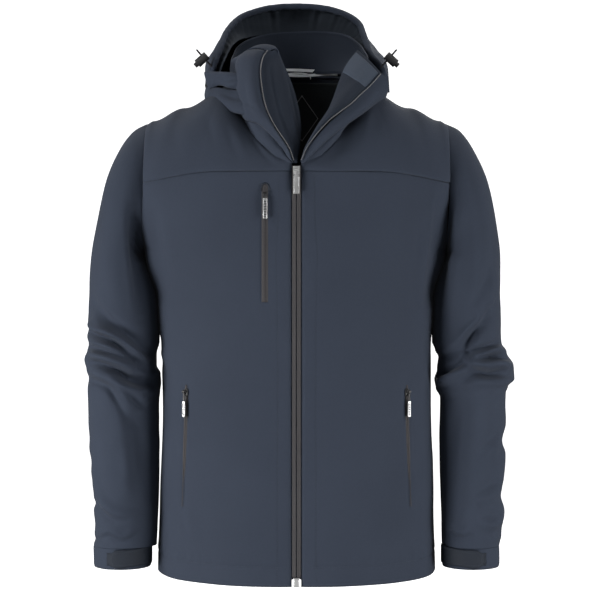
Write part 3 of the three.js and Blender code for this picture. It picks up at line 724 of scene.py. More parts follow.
# Painted light: this navy is darker than the shell's, and its level was raised to stand for the light that
# falls on the hood's inner band and its gathers.
HOOD_INSIDE_PAINTED_LIGHT = ClothFinish(
    "hood_inside", "facing", (0.0105, 0.014, 0.0195), (0.018, 0.023, 0.031), 0.85, 700.0
)
COIL = ClothFinish("grey_zip_coil", "zip_tape", (0.10, 0.10, 0.105), (0.17, 0.17, 0.175), 0.45, 500.0, 0.1)
THREAD = ClothFinish("navy_thread", "shell", (0.016, 0.020, 0.028), (0.040, 0.048, 0.064), 0.7, 2500.0, 0.1)
TAB = ClothFinish("dark_cuff_tab", "tab", (0.008, 0.0105, 0.0155), (0.015, 0.019, 0.027), 0.7, 1100.0, 0.2)
SILVER = HardFinish("satin_silver", "bright_metal", (0.60, 0.60, 0.60), 1.0, 0.36)
BLACK = HardFinish("matte_black_plastic", "black_trim", (0.010, 0.010, 0.011), 0.0, 0.5)
CORD = ClothFinish("black_braid", "black_trim", (0.008, 0.008, 0.010), (0.02, 0.02, 0.024), 0.75, 900.0)


def settle(
    piece: bpy.types.Object, finish: ClothFinish | HardFinish, body: str, *nodes: str
) -> bpy.types.Object:
    """Dresses a piece, fixes it to a body and lets it stand for the frame's nodes.

    Args:
        piece: The finished mesh.
        finish: Its finish.
        body: The body it moves with.
        nodes: The frame's nodes that it replaces.

    Returns:
        The piece.
    """
    finish.dress(piece)
    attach(piece, body)
    if nodes:
        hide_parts(*nodes)
    LOG.info("%s: %d faces on %s", piece.name, len(piece.data.polygons), body)
    return piece


# ------------------------------------------------------------------ what repeats


class Repeat:
    """A Geometry Nodes tree that sets copies of a small shape along a path."""

    def __init__(self, name: str) -> None:
        """Builds the tree with its named inputs."""
        self.tree = bpy.data.node_groups.new(name, "GeometryNodeTree")
        sockets = self.tree.interface
        sockets.new_socket("Geometry", in_out="INPUT", socket_type="NodeSocketGeometry")
        for title in ("Pitch", "Long", "Wide", "High"):
            sockets.new_socket(title, in_out="INPUT", socket_type="NodeSocketFloat")
        sockets.new_socket("Finish", in_out="INPUT", socket_type="NodeSocketMaterial")
        sockets.new_socket("Geometry", in_out="OUTPUT", socket_type="NodeSocketGeometry")
        nodes, links = self.tree.nodes, self.tree.links
        start = nodes.new("NodeGroupInput")
        to_curve = nodes.new("GeometryNodeMeshToCurve")
        links.new(start.outputs["Geometry"], to_curve.inputs["Mesh"])
        spread = nodes.new("GeometryNodeCurveToPoints")
        spread.mode = "LENGTH"
        links.new(to_curve.outputs["Curve"], spread.inputs["Curve"])
        links.new(start.outputs["Pitch"], spread.inputs["Length"])
        bead = nodes.new("GeometryNodeMeshUVSphere")
        bead.inputs["Segments"].default_value = 8
        bead.inputs["Rings"].default_value = 5
        bead.inputs["Radius"].default_value = 0.5
        size = nodes.new("ShaderNodeCombineXYZ")
        for title, axis in (("Wide", "X"), ("High", "Y"), ("Long", "Z")):
            links.new(start.outputs[title], size.inputs[axis])
        copies = nodes.new("GeometryNodeInstanceOnPoints")
        links.new(spread.outputs["Points"], copies.inputs["Points"])
        links.new(spread.outputs["Rotation"], copies.inputs["Rotation"])
        links.new(bead.outputs["Mesh"], copies.inputs["Instance"])
        links.new(size.outputs["Vector"], copies.inputs["Scale"])
        real = nodes.new("GeometryNodeRealizeInstances")
        links.new(copies.outputs["Instances"], real.inputs["Geometry"])
        finish = nodes.new("GeometryNodeSetMaterial")
        links.new(real.outputs["Geometry"], finish.inputs["Geometry"])
        links.new(start.outputs["Finish"], finish.inputs["Material"])
        end = nodes.new("NodeGroupOutput")
        links.new(finish.outputs["Geometry"], end.inputs["Geometry"])
        self.bead = bead

    def identifier(self, title: str) -> str:
        """The identifier of a named input."""
        items = self.tree.interface.items_tree
        return next(i.identifier for i in items if i.name == title and i.in_out == "INPUT")

    def lay(
        self,
        name: str,
        paths: Sequence[np.ndarray],
        finish: ClothFinish | HardFinish,
        pitch: float,
        long: float,
        wide: float,
        high: float,
    ) -> bpy.types.Object:
        """Sets the copies along paths and returns them as one plain mesh.

        Args:
            name: The piece's name.
            paths: Rows of points in millimetres.
            finish: The copies' finish.
            pitch: Distance between copies, in millimetres.
            long: Size of a copy along the path.
            wide: Size across the path.
            high: Size off the surface.

        Returns:
            The mesh object.
        """
        vertices = np.concatenate([np.asarray(p, float) for p in paths]) * MM
        edges = []
        at = 0
        for path in paths:
            edges += [(at + i, at + i + 1) for i in range(len(path) - 1)]
            at += len(path)
        seed = bpy.data.meshes.new(name + "_path")
        seed.from_pydata(vertices.tolist(), edges, [])
        carrier = bpy.data.objects.new(name + "_path", seed)
        bpy.context.scene.collection.objects.link(carrier)
        modifier = carrier.modifiers.new("repeat", "NODES")
        modifier.node_group = self.tree
        for title, value in (("Pitch", pitch), ("Long", long), ("Wide", wide), ("High", high)):
            modifier[self.identifier(title)] = value * MM
        modifier[self.identifier("Finish")] = finish.material()
        ready = carrier.evaluated_get(bpy.context.evaluated_depsgraph_get())
        mesh = bpy.data.meshes.new_from_object(ready)
        mesh.name = name
        bpy.data.objects.remove(carrier)
        for layer in list(mesh.uv_layers):
            layer.name = "cloth"
        mesh.polygons.foreach_set("use_smooth", [True] * len(mesh.polygons))
        thing = bpy.data.objects.new(name, mesh)
        bpy.context.scene.collection.objects.link(thing)
        return thing


# ------------------------------------------------------------------ body


@dataclass
class Body:
    """The panels, yokes, hem and linings that make the jacket's body."""

    outline: Outline
    stitches: Repeat
    panel_cells: tuple[int, int] = (84, 230)
    yoke_cells: tuple[int, int] = (84, 60)
    stitch_lift: float = 0.1
    hem_stitch: float = 28.0
    loop: tuple[tuple[float, float], ...] = (
        (-21.8, -8.0), (-21.0, -3.6), (-17.0, -0.4), (-9.0, 1.3), (0.0, 1.5),
        (9.0, 1.3), (17.0, -0.4), (21.0, -3.6), (21.8, -8.0),
    )

    def front_relief(self, points: Grid) -> np.ndarray:
        """Soft swells of the front, more towards the armholes and the hem."""
        x, z = np.abs(points[..., 0]), points[..., 2]
        sides = smooth(120, 215, x)
        free = smooth(0, 30, x)
        chest = 1 - np.exp(-(((points[..., 0] + 44) / 16) ** 2)) * smooth(-375, -350, z)
        hand = 1 - np.exp(-(((x - 160) / 14) ** 2)) * smooth(-665, -645, z) * smooth(-435, -455, z)
        free = free * chest * hand
        swell = 1.4 * waves(points, 190, 5, (1.0, 1.0, 1.8)) * free
        pull = 1.6 * waves(points, 70, 11, (0.8, 1.0, 3.0)) * sides * smooth(-380, -250, z)
        skirt = 1.2 * waves(points, 95, 17, (0.7, 1.0, 3.5)) * smooth(-560, -730, z) * free
        return swell + pull + skirt

    def folds(self, side: Side) -> list[Fold]:
        """Creases of the front on one side."""
        if side is Side.RIGHT:
            return [
                Fold(((-210, -190), (-203, -240), (-196, -300), (-192, -356)), -5.0, 13.0),
                Fold(((-196, -228), (-186, -262), (-176, -305)), 1.6, 10.0, 0.4),
                Fold(((-198, -415), (-186, -432), (-180, -450)), 3.0, 9.0, 0.6),
                Fold(((-203, -380), (-192, -398), (-188, -424)), 2.0, 8.0, 0.5),
                Fold(((-158, -640), (-150, -665), (-146, -690)), 1.4, 9.0, 0.4),
            ]
        return [
            Fold(((210, -195), (204, -245), (198, -305), (194, -360)), -6.5, 13.0),
            Fold(((198, -232), (188, -268), (180, -315)), 1.6, 10.0, 0.4),
            Fold(((196, -560), (188, -600), (190, -650)), 1.6, 11.0, 0.4),
            Fold(((174, -640), (182, -668), (188, -700)), 1.4, 9.0, 0.4),
        ]

    def pocket_lip(self, points: Grid, side: Side) -> np.ndarray:
        """The cloth rises a little beside each hand pocket's slit."""
        low, high = (np.array(c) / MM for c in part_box(side.label + "_hand_zip_tape"))
        z = points[..., 2]
        t = np.clip((high[2] - z) / (high[2] - low[2]), 0, 1)
        inner = np.array([abs(low[0]), abs(high[0])])
        line = mix(inner.min() + 3.6, inner.max() - 3.6, t)
        away = (np.abs(points[..., 0]) - line) / 7.0
        inside = smooth(low[2] - 12, low[2] + 14, z) * smooth(high[2] + 12, high[2] - 14, z)
        return inside * (1.5 * np.exp(-((away - 0.9) ** 2)) - 1.1 * np.exp(-((away / 0.42) ** 2)))

    def hem_relief(self, points: Grid) -> np.ndarray:
        """The hem's stitch line pulls the cloth in, with small puckers beside it."""
        _, _, rise, _ = edge_distance(points)
        line = np.exp(-(((rise - self.hem_stitch) / 2.4) ** 2))
        puckers = np.exp(-(((rise - self.hem_stitch - 6) / 9) ** 2)) * waves(points, 16, 23, (0.6, 0.6, 3.0))
        return -0.8 * line + 0.5 * puckers

    def front_panel(self, side: Side) -> Grid:
        """Grid of a front panel with all its relief."""
        points = mirrored(self.outline.panel(Face.FRONT, self.outline.zip_opening, self.panel_cells), side)
        n = normals_of(points, (side.value * 0.6, -1, 0))
        relief = self.front_relief(points) + self.pocket_lip(points, side) + self.hem_relief(points)
        relief = relief * smooth(0, 14, edge_distance(points)[0])
        points = points + n * relief[..., None]
        return creased(points, n, self.folds(side))

    def build(self) -> None:
        """Makes every piece of the body."""
        shape = self.outline
        stitch_paths: list[np.ndarray] = []
        for side in Side:
            label = side.label
            out = (side.value * 0.6, -1.0, 0.0)
            grid = self.front_panel(side)
            turned = Turned(u0=1.4, u1=0.3, v1=0.8)
            piece = cloth(label + "_front_panel_cloth", grid, out, turned=turned)
            settle(piece, SHELL, "root", label + "_front_panel")
            rise = edge_distance(grid)[2]
            row = int(np.argmin(np.abs(rise[:, 20] - self.hem_stitch)))
            n = normals_of(grid, out)
            stitch_paths.append((grid + n * self.stitch_lift)[row, 3:-2])
            stitch_paths.append((grid + n * self.stitch_lift)[3:-3, 4])

            yoke = mirrored(shape.yoke(Face.FRONT, self.yoke_cells), side)
            n = normals_of(yoke, (0, -1, 1))
            yoke = yoke + n * (self.yoke_relief(yoke))[..., None]
            yoke = creased(yoke, n, self.yoke_folds(side))
            turned = Turned(u0=1.2, u1=0.15, v0=0.4, v1=0.8)
            piece = cloth(label + "_front_yoke_cloth", yoke, (0, -1, 1), turned=turned)
            settle(piece, SHELL, "root", label + "_front_yoke")

            lining = mirrored(shape.panel(Face.FRONT, 27.0, (20, 44), shape.hem + 22), side)
            n = normals_of(lining, out)
            lining = lining - n * (8.0 + 0.5 * waves(lining, 80, 31))[..., None]
            piece = cloth(label + "_front_lining_cloth", lining, out, 0.8)
            settle(piece, LINING, "root", label + "_front_lining")

        half = shape.panel(Face.BACK, 0.0, self.panel_cells)
        back = np.concatenate([mirrored(half, Side.RIGHT)[:, :0:-1], half], axis=1)
        n = normals_of(back, (0, 1, 0))
        swell = 1.8 * waves(back, 200, 41, (1, 1, 1.8)) + 1.5 * waves(back, 90, 43, (0.8, 1, 3.2)) * smooth(
            -480, -700, back[..., 2]
        )
        drape = 2.2 * waves(back, 75, 47, (0.8, 1, 3.0)) * smooth(110, 215, np.abs(back[..., 0]))
        relief = swell + drape * smooth(-420, -260, back[..., 2]) + self.hem_relief(back)
        back = back + n * relief[..., None]
        piece = cloth("back_panel_cloth", back, (0, 1, 0), turned=Turned(u0=0.9, u1=0.9, v1=1.3))
        settle(piece, SHELL, "root", "back_panel")
        row = int(np.argmin(np.abs(edge_distance(back)[2][:, 60] - self.hem_stitch)))
        stitch_paths.append((back + n * self.stitch_lift)[row, 2:-2])

        half = shape.yoke(Face.BACK, self.yoke_cells)
        yoke = np.concatenate([mirrored(half, Side.RIGHT)[:, :0:-1], half], axis=1)
        n = normals_of(yoke, (0, 1, 1))
        yoke = yoke + n * (0.8 * waves(yoke, 90, 51))[..., None]
        turned = Turned(u0=0.7, u1=0.7, v0=0.4, v1=0.8)
        piece = cloth("back_yoke_cloth", yoke, (0, 1, 1), turned=turned)
        settle(piece, SHELL, "root", "back_yoke")
        stitch_paths.append((yoke + n * self.stitch_lift)[3, 3:-3])

        self.linings()
        stitches = self.stitches.lay("body_topstitching", stitch_paths, THREAD, 3.4, 2.6, 0.5, 0.45)
        settle(stitches, THREAD, "root")

    def linings(self) -> None:
        """Makes the back lining, the hem's turned-up band, the pocket bags and the hanger loop."""
        shape = self.outline
        half = shape.panel(Face.BACK, 0.0, (24, 48), shape.hem + 22)
        back = np.concatenate([mirrored(half, Side.RIGHT)[:, :0:-1], half], axis=1)
        n = normals_of(back, (0, 1, 0))
        back = back - n * (8.0 + 0.6 * waves(back, 80, 33))[..., None]
        settle(cloth("back_lining_cloth", back, (0, 1, 0), 0.8), LINING, "root", "back_lining")
        rows = slice(1, 10)
        for side in Side:
            behind = shape.panel(Face.BACK, 0.0, (40, 200))[rows]
            before = shape.panel(Face.FRONT, 27.0, (40, 200))[rows]
            band = mirrored(np.concatenate([behind, before[:, -2::-1]], axis=1), side)
            n = normals_of(band, (side.value, 0, 0))
            piece = cloth(side.label + "_hem_facing_cloth", band - n * 3.6, (side.value, 0, 0), 1.0)
            settle(piece, SHELL, "root", *(("hem_facing",) if side is Side.LEFT else ()))
        for name in ("chest", "right_hand", "left_hand"):
            low, high = (np.array(c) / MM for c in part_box(name + "_pocket_bag"))
            x = np.linspace(low[0], high[0], 16)[None, :] + np.zeros((18, 1))
            z = np.linspace(low[2], high[2], 18)[:, None] + np.zeros((1, 16))
            bag = shape.surface(x, z, Face.FRONT)
            n = normals_of(bag, (0, -1, 0))
            piece = cloth(name + "_bag_cloth", bag - n * 4.6, (0, -1, 0), 0.8)
            settle(piece, LINING, "root", name + "_pocket_bag")
        line = through(self.loop, np.linspace(0, 1, 49))
        y = np.linspace(-2.0, 2.0, 7)[None, :]
        strap = np.stack(np.broadcast_arrays(line[:, :1], y, line[:, 1:]), axis=-1)
        settle(cloth("hanger_strap", strap, (0, 0, 1), 1.4), WEBBING, "root", "hanger_loop")

    def yoke_relief(self, points: Grid) -> np.ndarray:
        """Soft swells of a front yoke."""
        return 0.9 * waves(points, 120, 61) * smooth(10, 60, np.abs(points[..., 0]))

    def yoke_folds(self, side: Side) -> list[Fold]:
        """Drag lines from the collar over the yoke."""
        if side is Side.RIGHT:
            return [
                Fold(((-122, -72), (-112, -98), (-106, -130)), 1.1, 9.0, 0.6),
                Fold(((-92, -88), (-82, -116), (-70, -148)), 1.3, 8.0, 0.6),
                Fold(((-62, -100), (-46, -126), (-26, -150)), 1.2, 6.0, 0.7),
                Fold(((-168, -78), (-160, -108), (-156, -140)), 0.8, 12.0, 0.4),
            ]
        return [
            Fold(((118, -66), (112, -96), (104, -132)), -1.2, 9.0, 0.6),
            Fold(((84, -86), (66, -118), (46, -146)), -1.1, 8.0, 0.6),
            Fold(((160, -74), (166, -106), (170, -140)), 0.9, 12.0, 0.4),
        ]


# ------------------------------------------------------------------ sleeves


@dataclass
class Sleeve:
    """One sleeve: a tube of cloth in two pieces that meet above the elbow, a cuff and its tab."""

    outline: Outline
    side: Side
    stitches: Repeat
    cells: tuple[int, int] = (120, 260)
    split: float = 0.535
    crease_depth: float = 1.75
    outer: tuple[tuple[float, float], ...] = (
        (222, -84),
        (243, -96),
        (262, -122),
        (281, -168),
        (296, -240),
        (306, -310),
        (309, -370),
        (311, -420),
        (314, -470),
        (313, -530),
        (309, -600),
        (303, -660),
        (297, -702),
    )
    inner: tuple[tuple[float, float], ...] = (
        (222, -270),
        (224.5, -274),
        (226, -280),
        (226, -290),
        (219, -312),
        (211, -340),
        (208, -376),
        (207, -420),
        (207, -470),
        (208, -530),
        (209, -600),
        (211, -660),
        (213, -702),
    )
    depth: tuple[float, ...] = (64, 70, 74, 76, 76, 73, 70, 67, 64, 61, 57, 54, 51)
    forward: tuple[float, ...] = (0, 0, -1, -2, -4, -6, -8, -10, -13, -17, -21, -25, -26)

    def edges(self) -> tuple[tuple, tuple]:
        """How far the outer and the inner outline stand off the plain tube, as (z, millimetres) pairs."""
        if self.side is Side.RIGHT:
            outer = ((-702, 0), (-690, -5), (-668, -7), (-650, -7), (-640, -10), (-632, -8), (-567, -8),
                     (-517, -8), (-474, -8), (-457, -9), (-446, -6), (-431, -1), (-419, -5), (-407, -7),
                     (-396, -4), (-344, -3), (-260, 0))
            inner = ((-702, -8), (-640, -8), (-560, -7), (-520, -5.5), (-491, -5), (-478, -6),
                     (-466, -7.2), (-452, -6.5), (-440, -0.5),
                     (-424, -0.5), (-405, -5.0), (-376, -6.6), (-344, -7.2), (-315, -7.6), (-292, -7.4),
                     (-274, -2))
            return outer, inner
        outer = ((-702, 0), (-676, -2), (-654, 1), (-627, -7), (-600, -4), (-568, -4), (-550, -9), (-527, -5),
                 (-480, -6), (-471, -3), (-460, 7), (-440, 7), (-420, -3), (-409, -10), (-344, -7), (-260, 0))
        inner = ((-702, 0), (-645, 1.5), (-555, 1.5), (-487, 4), (-474, -2), (-460, -4), (-446, 0), (-428, 2),
                 (-417, -3), (-405, -7.5), (-376, -9.5),
                 (-344, -11), (-315, -12), (-292, -11), (-274, -4))
        return outer, inner

    def folds(self) -> list[Fold]:
        """Creases of the sleeve, as seen from the front."""
        if self.side is Side.RIGHT:
            return [
                Fold(((-304, -372), (-292, -384), (-262, -394), (-238, -412), (-214, -438)), 7.0, 8.0, 1.0),
                Fold(((-300, -340), (-280, -366), (-256, -386), (-228, -410), (-212, -430)), -5.5, 8.5, 0.3),
                Fold(((-306, -424), (-286, -425), (-262, -432), (-246, -440), (-232, -448)), 7.0, 8.5, 1.1),
                Fold(((-304, -404), (-280, -408), (-258, -416), (-240, -424)), 4.0, 6.0, 1.0),
                Fold(((-302, -448), (-282, -452), (-262, -462), (-246, -484), (-232, -512)), 5.0, 10.0, 0.9),
                Fold(((-262, -444), (-246, -456), (-226, -462), (-200, -466)), -6.0, 9.0, 0.5),
                Fold(((-250, -462), (-228, -482), (-212, -494)), 3.0, 7.0, 0.8),
                Fold(((-240, -478), (-232, -520), (-226, -580), (-224, -640)), -4.5, 15.0, 0.2),
                Fold(((-290, -612), (-280, -634), (-262, -650), (-236, -652)), 3.0, 8.0, 0.8),
                Fold(((-290, -684), (-270, -676), (-250, -684), (-232, -674)), 1.8, 6.0, 0.6),
                Fold(((-306, -318), (-300, -346), (-303, -374)), -2.2, 8.0, 0.4),
                Fold(((-236, -206), (-233, -250), (-229, -305), (-222, -370)), -5.0, 10.0, 0.3),
                Fold(((-278, -250), (-270, -300), (-262, -350)), 1.8, 16.0, 0.3),
            ]
        return [
            Fold(((280, -356), (270, -378), (250, -398), (234, -416), (214, -434)), -5.5, 8.0, 0.4),
            Fold(((262, -378), (246, -408), (244, -432)), -3.5, 7.0, 0.4),
            Fold(((300, -412), (276, -420), (258, -426), (246, -432)), 5.5, 7.0, 1.0),
            Fold(((312, -440), (294, -435), (270, -436), (246, -436)), 6.5, 7.5, 1.1),
            Fold(((306, -444), (278, -452), (262, -446), (246, -442)), -4.5, 6.0, 0.3),
            Fold(((252, -442), (232, -450), (212, -462), (204, -466)), 5.5, 8.0, 1.0),
            Fold(((312, -464), (290, -462), (262, -462), (240, -470)), 4.0, 9.0, 0.8),
            Fold(((244, -466), (232, -512), (224, -580), (222, -680)), -5.0, 15.0, 0.2),
            Fold(((300, -548), (286, -556), (270, -574)), 2.4, 9.0, 0.6),
            Fold(((300, -612), (280, -626), (256, -636)), 2.8, 9.0, 0.7),
            Fold(((300, -662), (282, -668), (262, -662)), 2.6, 8.0, 0.7),
            Fold(((222, -670), (236, -678), (250, -672)), 2.0, 7.0, 0.7),
            Fold(((234, -206), (233, -250), (229, -305), (222, -370)), 5.0, 10.0, 0.3),
            Fold(((292, -300), (282, -330), (262, -362)), 3.0, 11.0, 0.7),
            Fold(((270, -240), (262, -290), (258, -340)), 1.6, 16.0, 0.3),
        ]

    def back_folds(self) -> list[Fold]:
        """Creases of the sleeve's back, seen from the front through the sleeve."""
        s = self.side.value
        return [
            Fold(((s * 318, -400), (s * 280, -410), (s * 240, -432), (s * 206, -440)), 5.0, 11.0, 0.8),
            Fold(((s * 318, -440), (s * 284, -452), (s * 240, -456), (s * 206, -470)), 6.0, 12.0, 0.8),
            Fold(((s * 300, -340), (s * 270, -366), (s * 232, -392)), 3.5, 12.0, 0.6),
            Fold(((s * 310, -650), (s * 270, -664), (s * 226, -668)), 2.6, 9.0, 0.7),
            Fold(((s * 250, -180), (s * 244, -240), (s * 240, -310)), 2.6, 12.0, 0.5),
        ]

    def tube(self) -> tuple[Grid, Grid]:
        """The sleeve's grid and normals, armhole first."""
        v = np.linspace(0, 1, self.cells[1] + 1)
        outer, inner = through(self.outer, v), through(self.inner, v)
        depth = through([(d,) for d in self.depth], v)[:, 0]
        forward = through([(f,) for f in self.forward], v)[:, 0]
        angle = np.linspace(0, 2 * math.pi, self.cells[0], endpoint=False)[None, :]
        middle, half = (outer + inner) / 2, (outer - inner) / 2
        x = middle[:, :1] + half[:, :1] * np.cos(angle)
        z = middle[:, 1:] + half[:, 1:] * np.cos(angle)
        outer_edge, inner_edge = self.edges()
        x = x + along(outer_edge, z) * np.clip(np.cos(angle), 0, 1) ** 1.5
        x = x + along(inner_edge, z) * np.clip(-np.cos(angle), 0, 1) ** 1.5
        y = self.outline.mid_y + forward[:, None] - depth[:, None] * np.sin(angle)
        points = mirrored(np.stack([x, y, z], axis=-1), self.side)
        n = self.out(points)
        lively = smooth(0.0, 0.08, v)[:, None] * smooth(1.0, 0.97, v)[:, None]
        swell = 1.6 * waves(points, 110, 71 + self.side.value, (1, 1, 1.6))
        small = 0.8 * waves(points, 38, 75 + self.side.value, (1, 1, 0.8))
        small = small * smooth(-360, -420, points[..., 2])
        lively = lively * mix(0.12, 1.0, smooth(-0.9, -0.3, np.cos(angle)))
        points = points + n * ((swell + small) * lively)[..., None]
        creases = self.crease_depth * (creased(points, n, self.folds(), -1.0) - points)
        creases = creases + creased(points, n, self.back_folds(), 1.0) - points
        points = points + creases * smooth(1.0, 0.975, v)[:, None, None] * smooth(0.02, 0.1, v)[:, None, None]
        head = 0.2 * np.exp(-((v / 0.006) ** 2))
        points = points - n * head[:, None, None]
        return points, self.out(points)

    def out(self, points: Grid) -> Grid:
        """Normals that point out of the tube."""
        n = normals_of(points, (0, 0, 0), ring=True)
        row = points.shape[0] // 2
        centre = points[row].mean(axis=0)
        return n if float(((points[row] - centre) * n[row]).sum()) > 0 else -n

    def cuff_point(self, degrees: np.ndarray, height: np.ndarray, lift: float) -> Grid:
        """Places round the cuff: 0 degrees is its outer line, 90 its front, 180 its inner line."""
        low, high = (np.array(c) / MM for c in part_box(self.side.label + "_cuff"))
        centre, half = (low + high) / 2, (high - low) / 2 - 0.6
        a = np.radians(degrees)
        x = centre[0] + self.side.value * (half[0] + lift) * np.cos(a)
        y = centre[1] - (half[1] + lift) * np.sin(a)
        return np.stack(np.broadcast_arrays(x, y, mix(high[2] + 0.4, low[2], height)), axis=-1)

    def build(self) -> None:
        """Makes the sleeve's pieces."""
        label = self.side.label
        upper, fore = label + "_upper_sleeve", label + "_forearm"
        points, n = self.tube()
        row = int(self.split * self.cells[1])
        s = self.side.value
        top = cloth(
            upper + "_cloth", points[: row + 1], (s, 0, 0), ring=True, normals=n[: row + 1], shade=True
        )
        SHELL.dress(top)
        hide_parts(upper + "_top", upper + "_under")
        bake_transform(top)
        lower = cloth(fore + "_cloth", points[row:], (s, 0, 0), ring=True, normals=n[row:], shade=True)
        SHELL.dress(lower)
        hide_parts(fore + "_top", fore + "_under")
        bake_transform(lower)
        LOG.info("%s sleeve: %d faces", label, len(top.data.polygons) + len(lower.data.polygons))
        self.cuff(fore)

    def cuff(self, body: str) -> None:
        """Makes the cuff, its hook patch and its tab.

        Args:
            body: The body that the cuff moves with.
        """
        label = self.side.label
        angle = np.linspace(0, 360, 120, endpoint=False)[None, :]
        height = np.linspace(0, 1, 14)[:, None]
        grid = self.cuff_point(angle, height, 0.6)
        roll = 1.2 * np.exp(-((height - 1) ** 2) / 0.004) + 0.8 * np.exp(-(height**2) / 0.004)
        n = self.out(grid)
        band = grid - n * (roll - 0.5 * waves(grid, 30, 81))[..., None]
        piece = cloth(label + "_cuff_band", band, (self.side.value, 0, 0), 2.0, ring=True, normals=n)
        settle(piece, SHELL, body, label + "_cuff")
        hook = self.cuff_point(np.linspace(64, 110, 16)[None, :], np.linspace(0.22, 0.8, 8)[:, None], 1.5)
        piece = cloth(label + "_hook_patch", hook, (0, -1, 0), 0.6)
        settle(piece, TAB, body, label + "_cuff_hook_patch")

        u = np.linspace(0, 1, 60)[None, :]
        v = np.linspace(-1, 1, 25)[:, None]
        end = np.sqrt(np.maximum(1 - (np.abs(v) ** 3.2), 0))
        first = 84 - 14 * end
        degrees = mix(first, 168 + 0 * v, u)
        slant = mix(0.0, 0.16, u)
        reach = mix(0.36, 0.44, u)
        grid = self.cuff_point(degrees, 0.52 - slant + reach * v, 4.1)
        away = (self.out_of_cuff(degrees)) * self.side_scale()
        lift = 1.6 * smooth(0.25, 0.0, u) + 0.0 * v
        grid = grid + away * lift[..., None]
        turned = Turned(u0=0.9, v0=0.9, v1=0.9, width=1.4)
        piece = cloth(label + "_tab", grid, (0, -1, 0), 1.6, turned=turned)
        settle(piece, TAB, label + "_cuff_tab", label + "_cuff_tab")
        n = normals_of(grid, (0, -1, 0))
        above = grid + n * 0.1
        rim = np.concatenate([above[3, 58:4:-1], above[3:22, 4], above[21, 5:58]])
        stitches = self.stitches.lay(label + "_tab_stitches", [rim], THREAD, 2.6, 1.9, 0.45, 0.4)
        settle(stitches, THREAD, label + "_cuff_tab")

    def out_of_cuff(self, degrees: np.ndarray) -> Grid:
        """Directions out of the cuff, on the wearer's left."""
        a = np.radians(degrees)
        return np.stack([np.cos(a), -np.sin(a), 0 * a], axis=-1)

    def side_scale(self) -> np.ndarray:
        """Turns a direction on the wearer's left to this side."""
        return np.array([self.side.value, 1.0, 1.0])


# ------------------------------------------------------------------ collar and hood


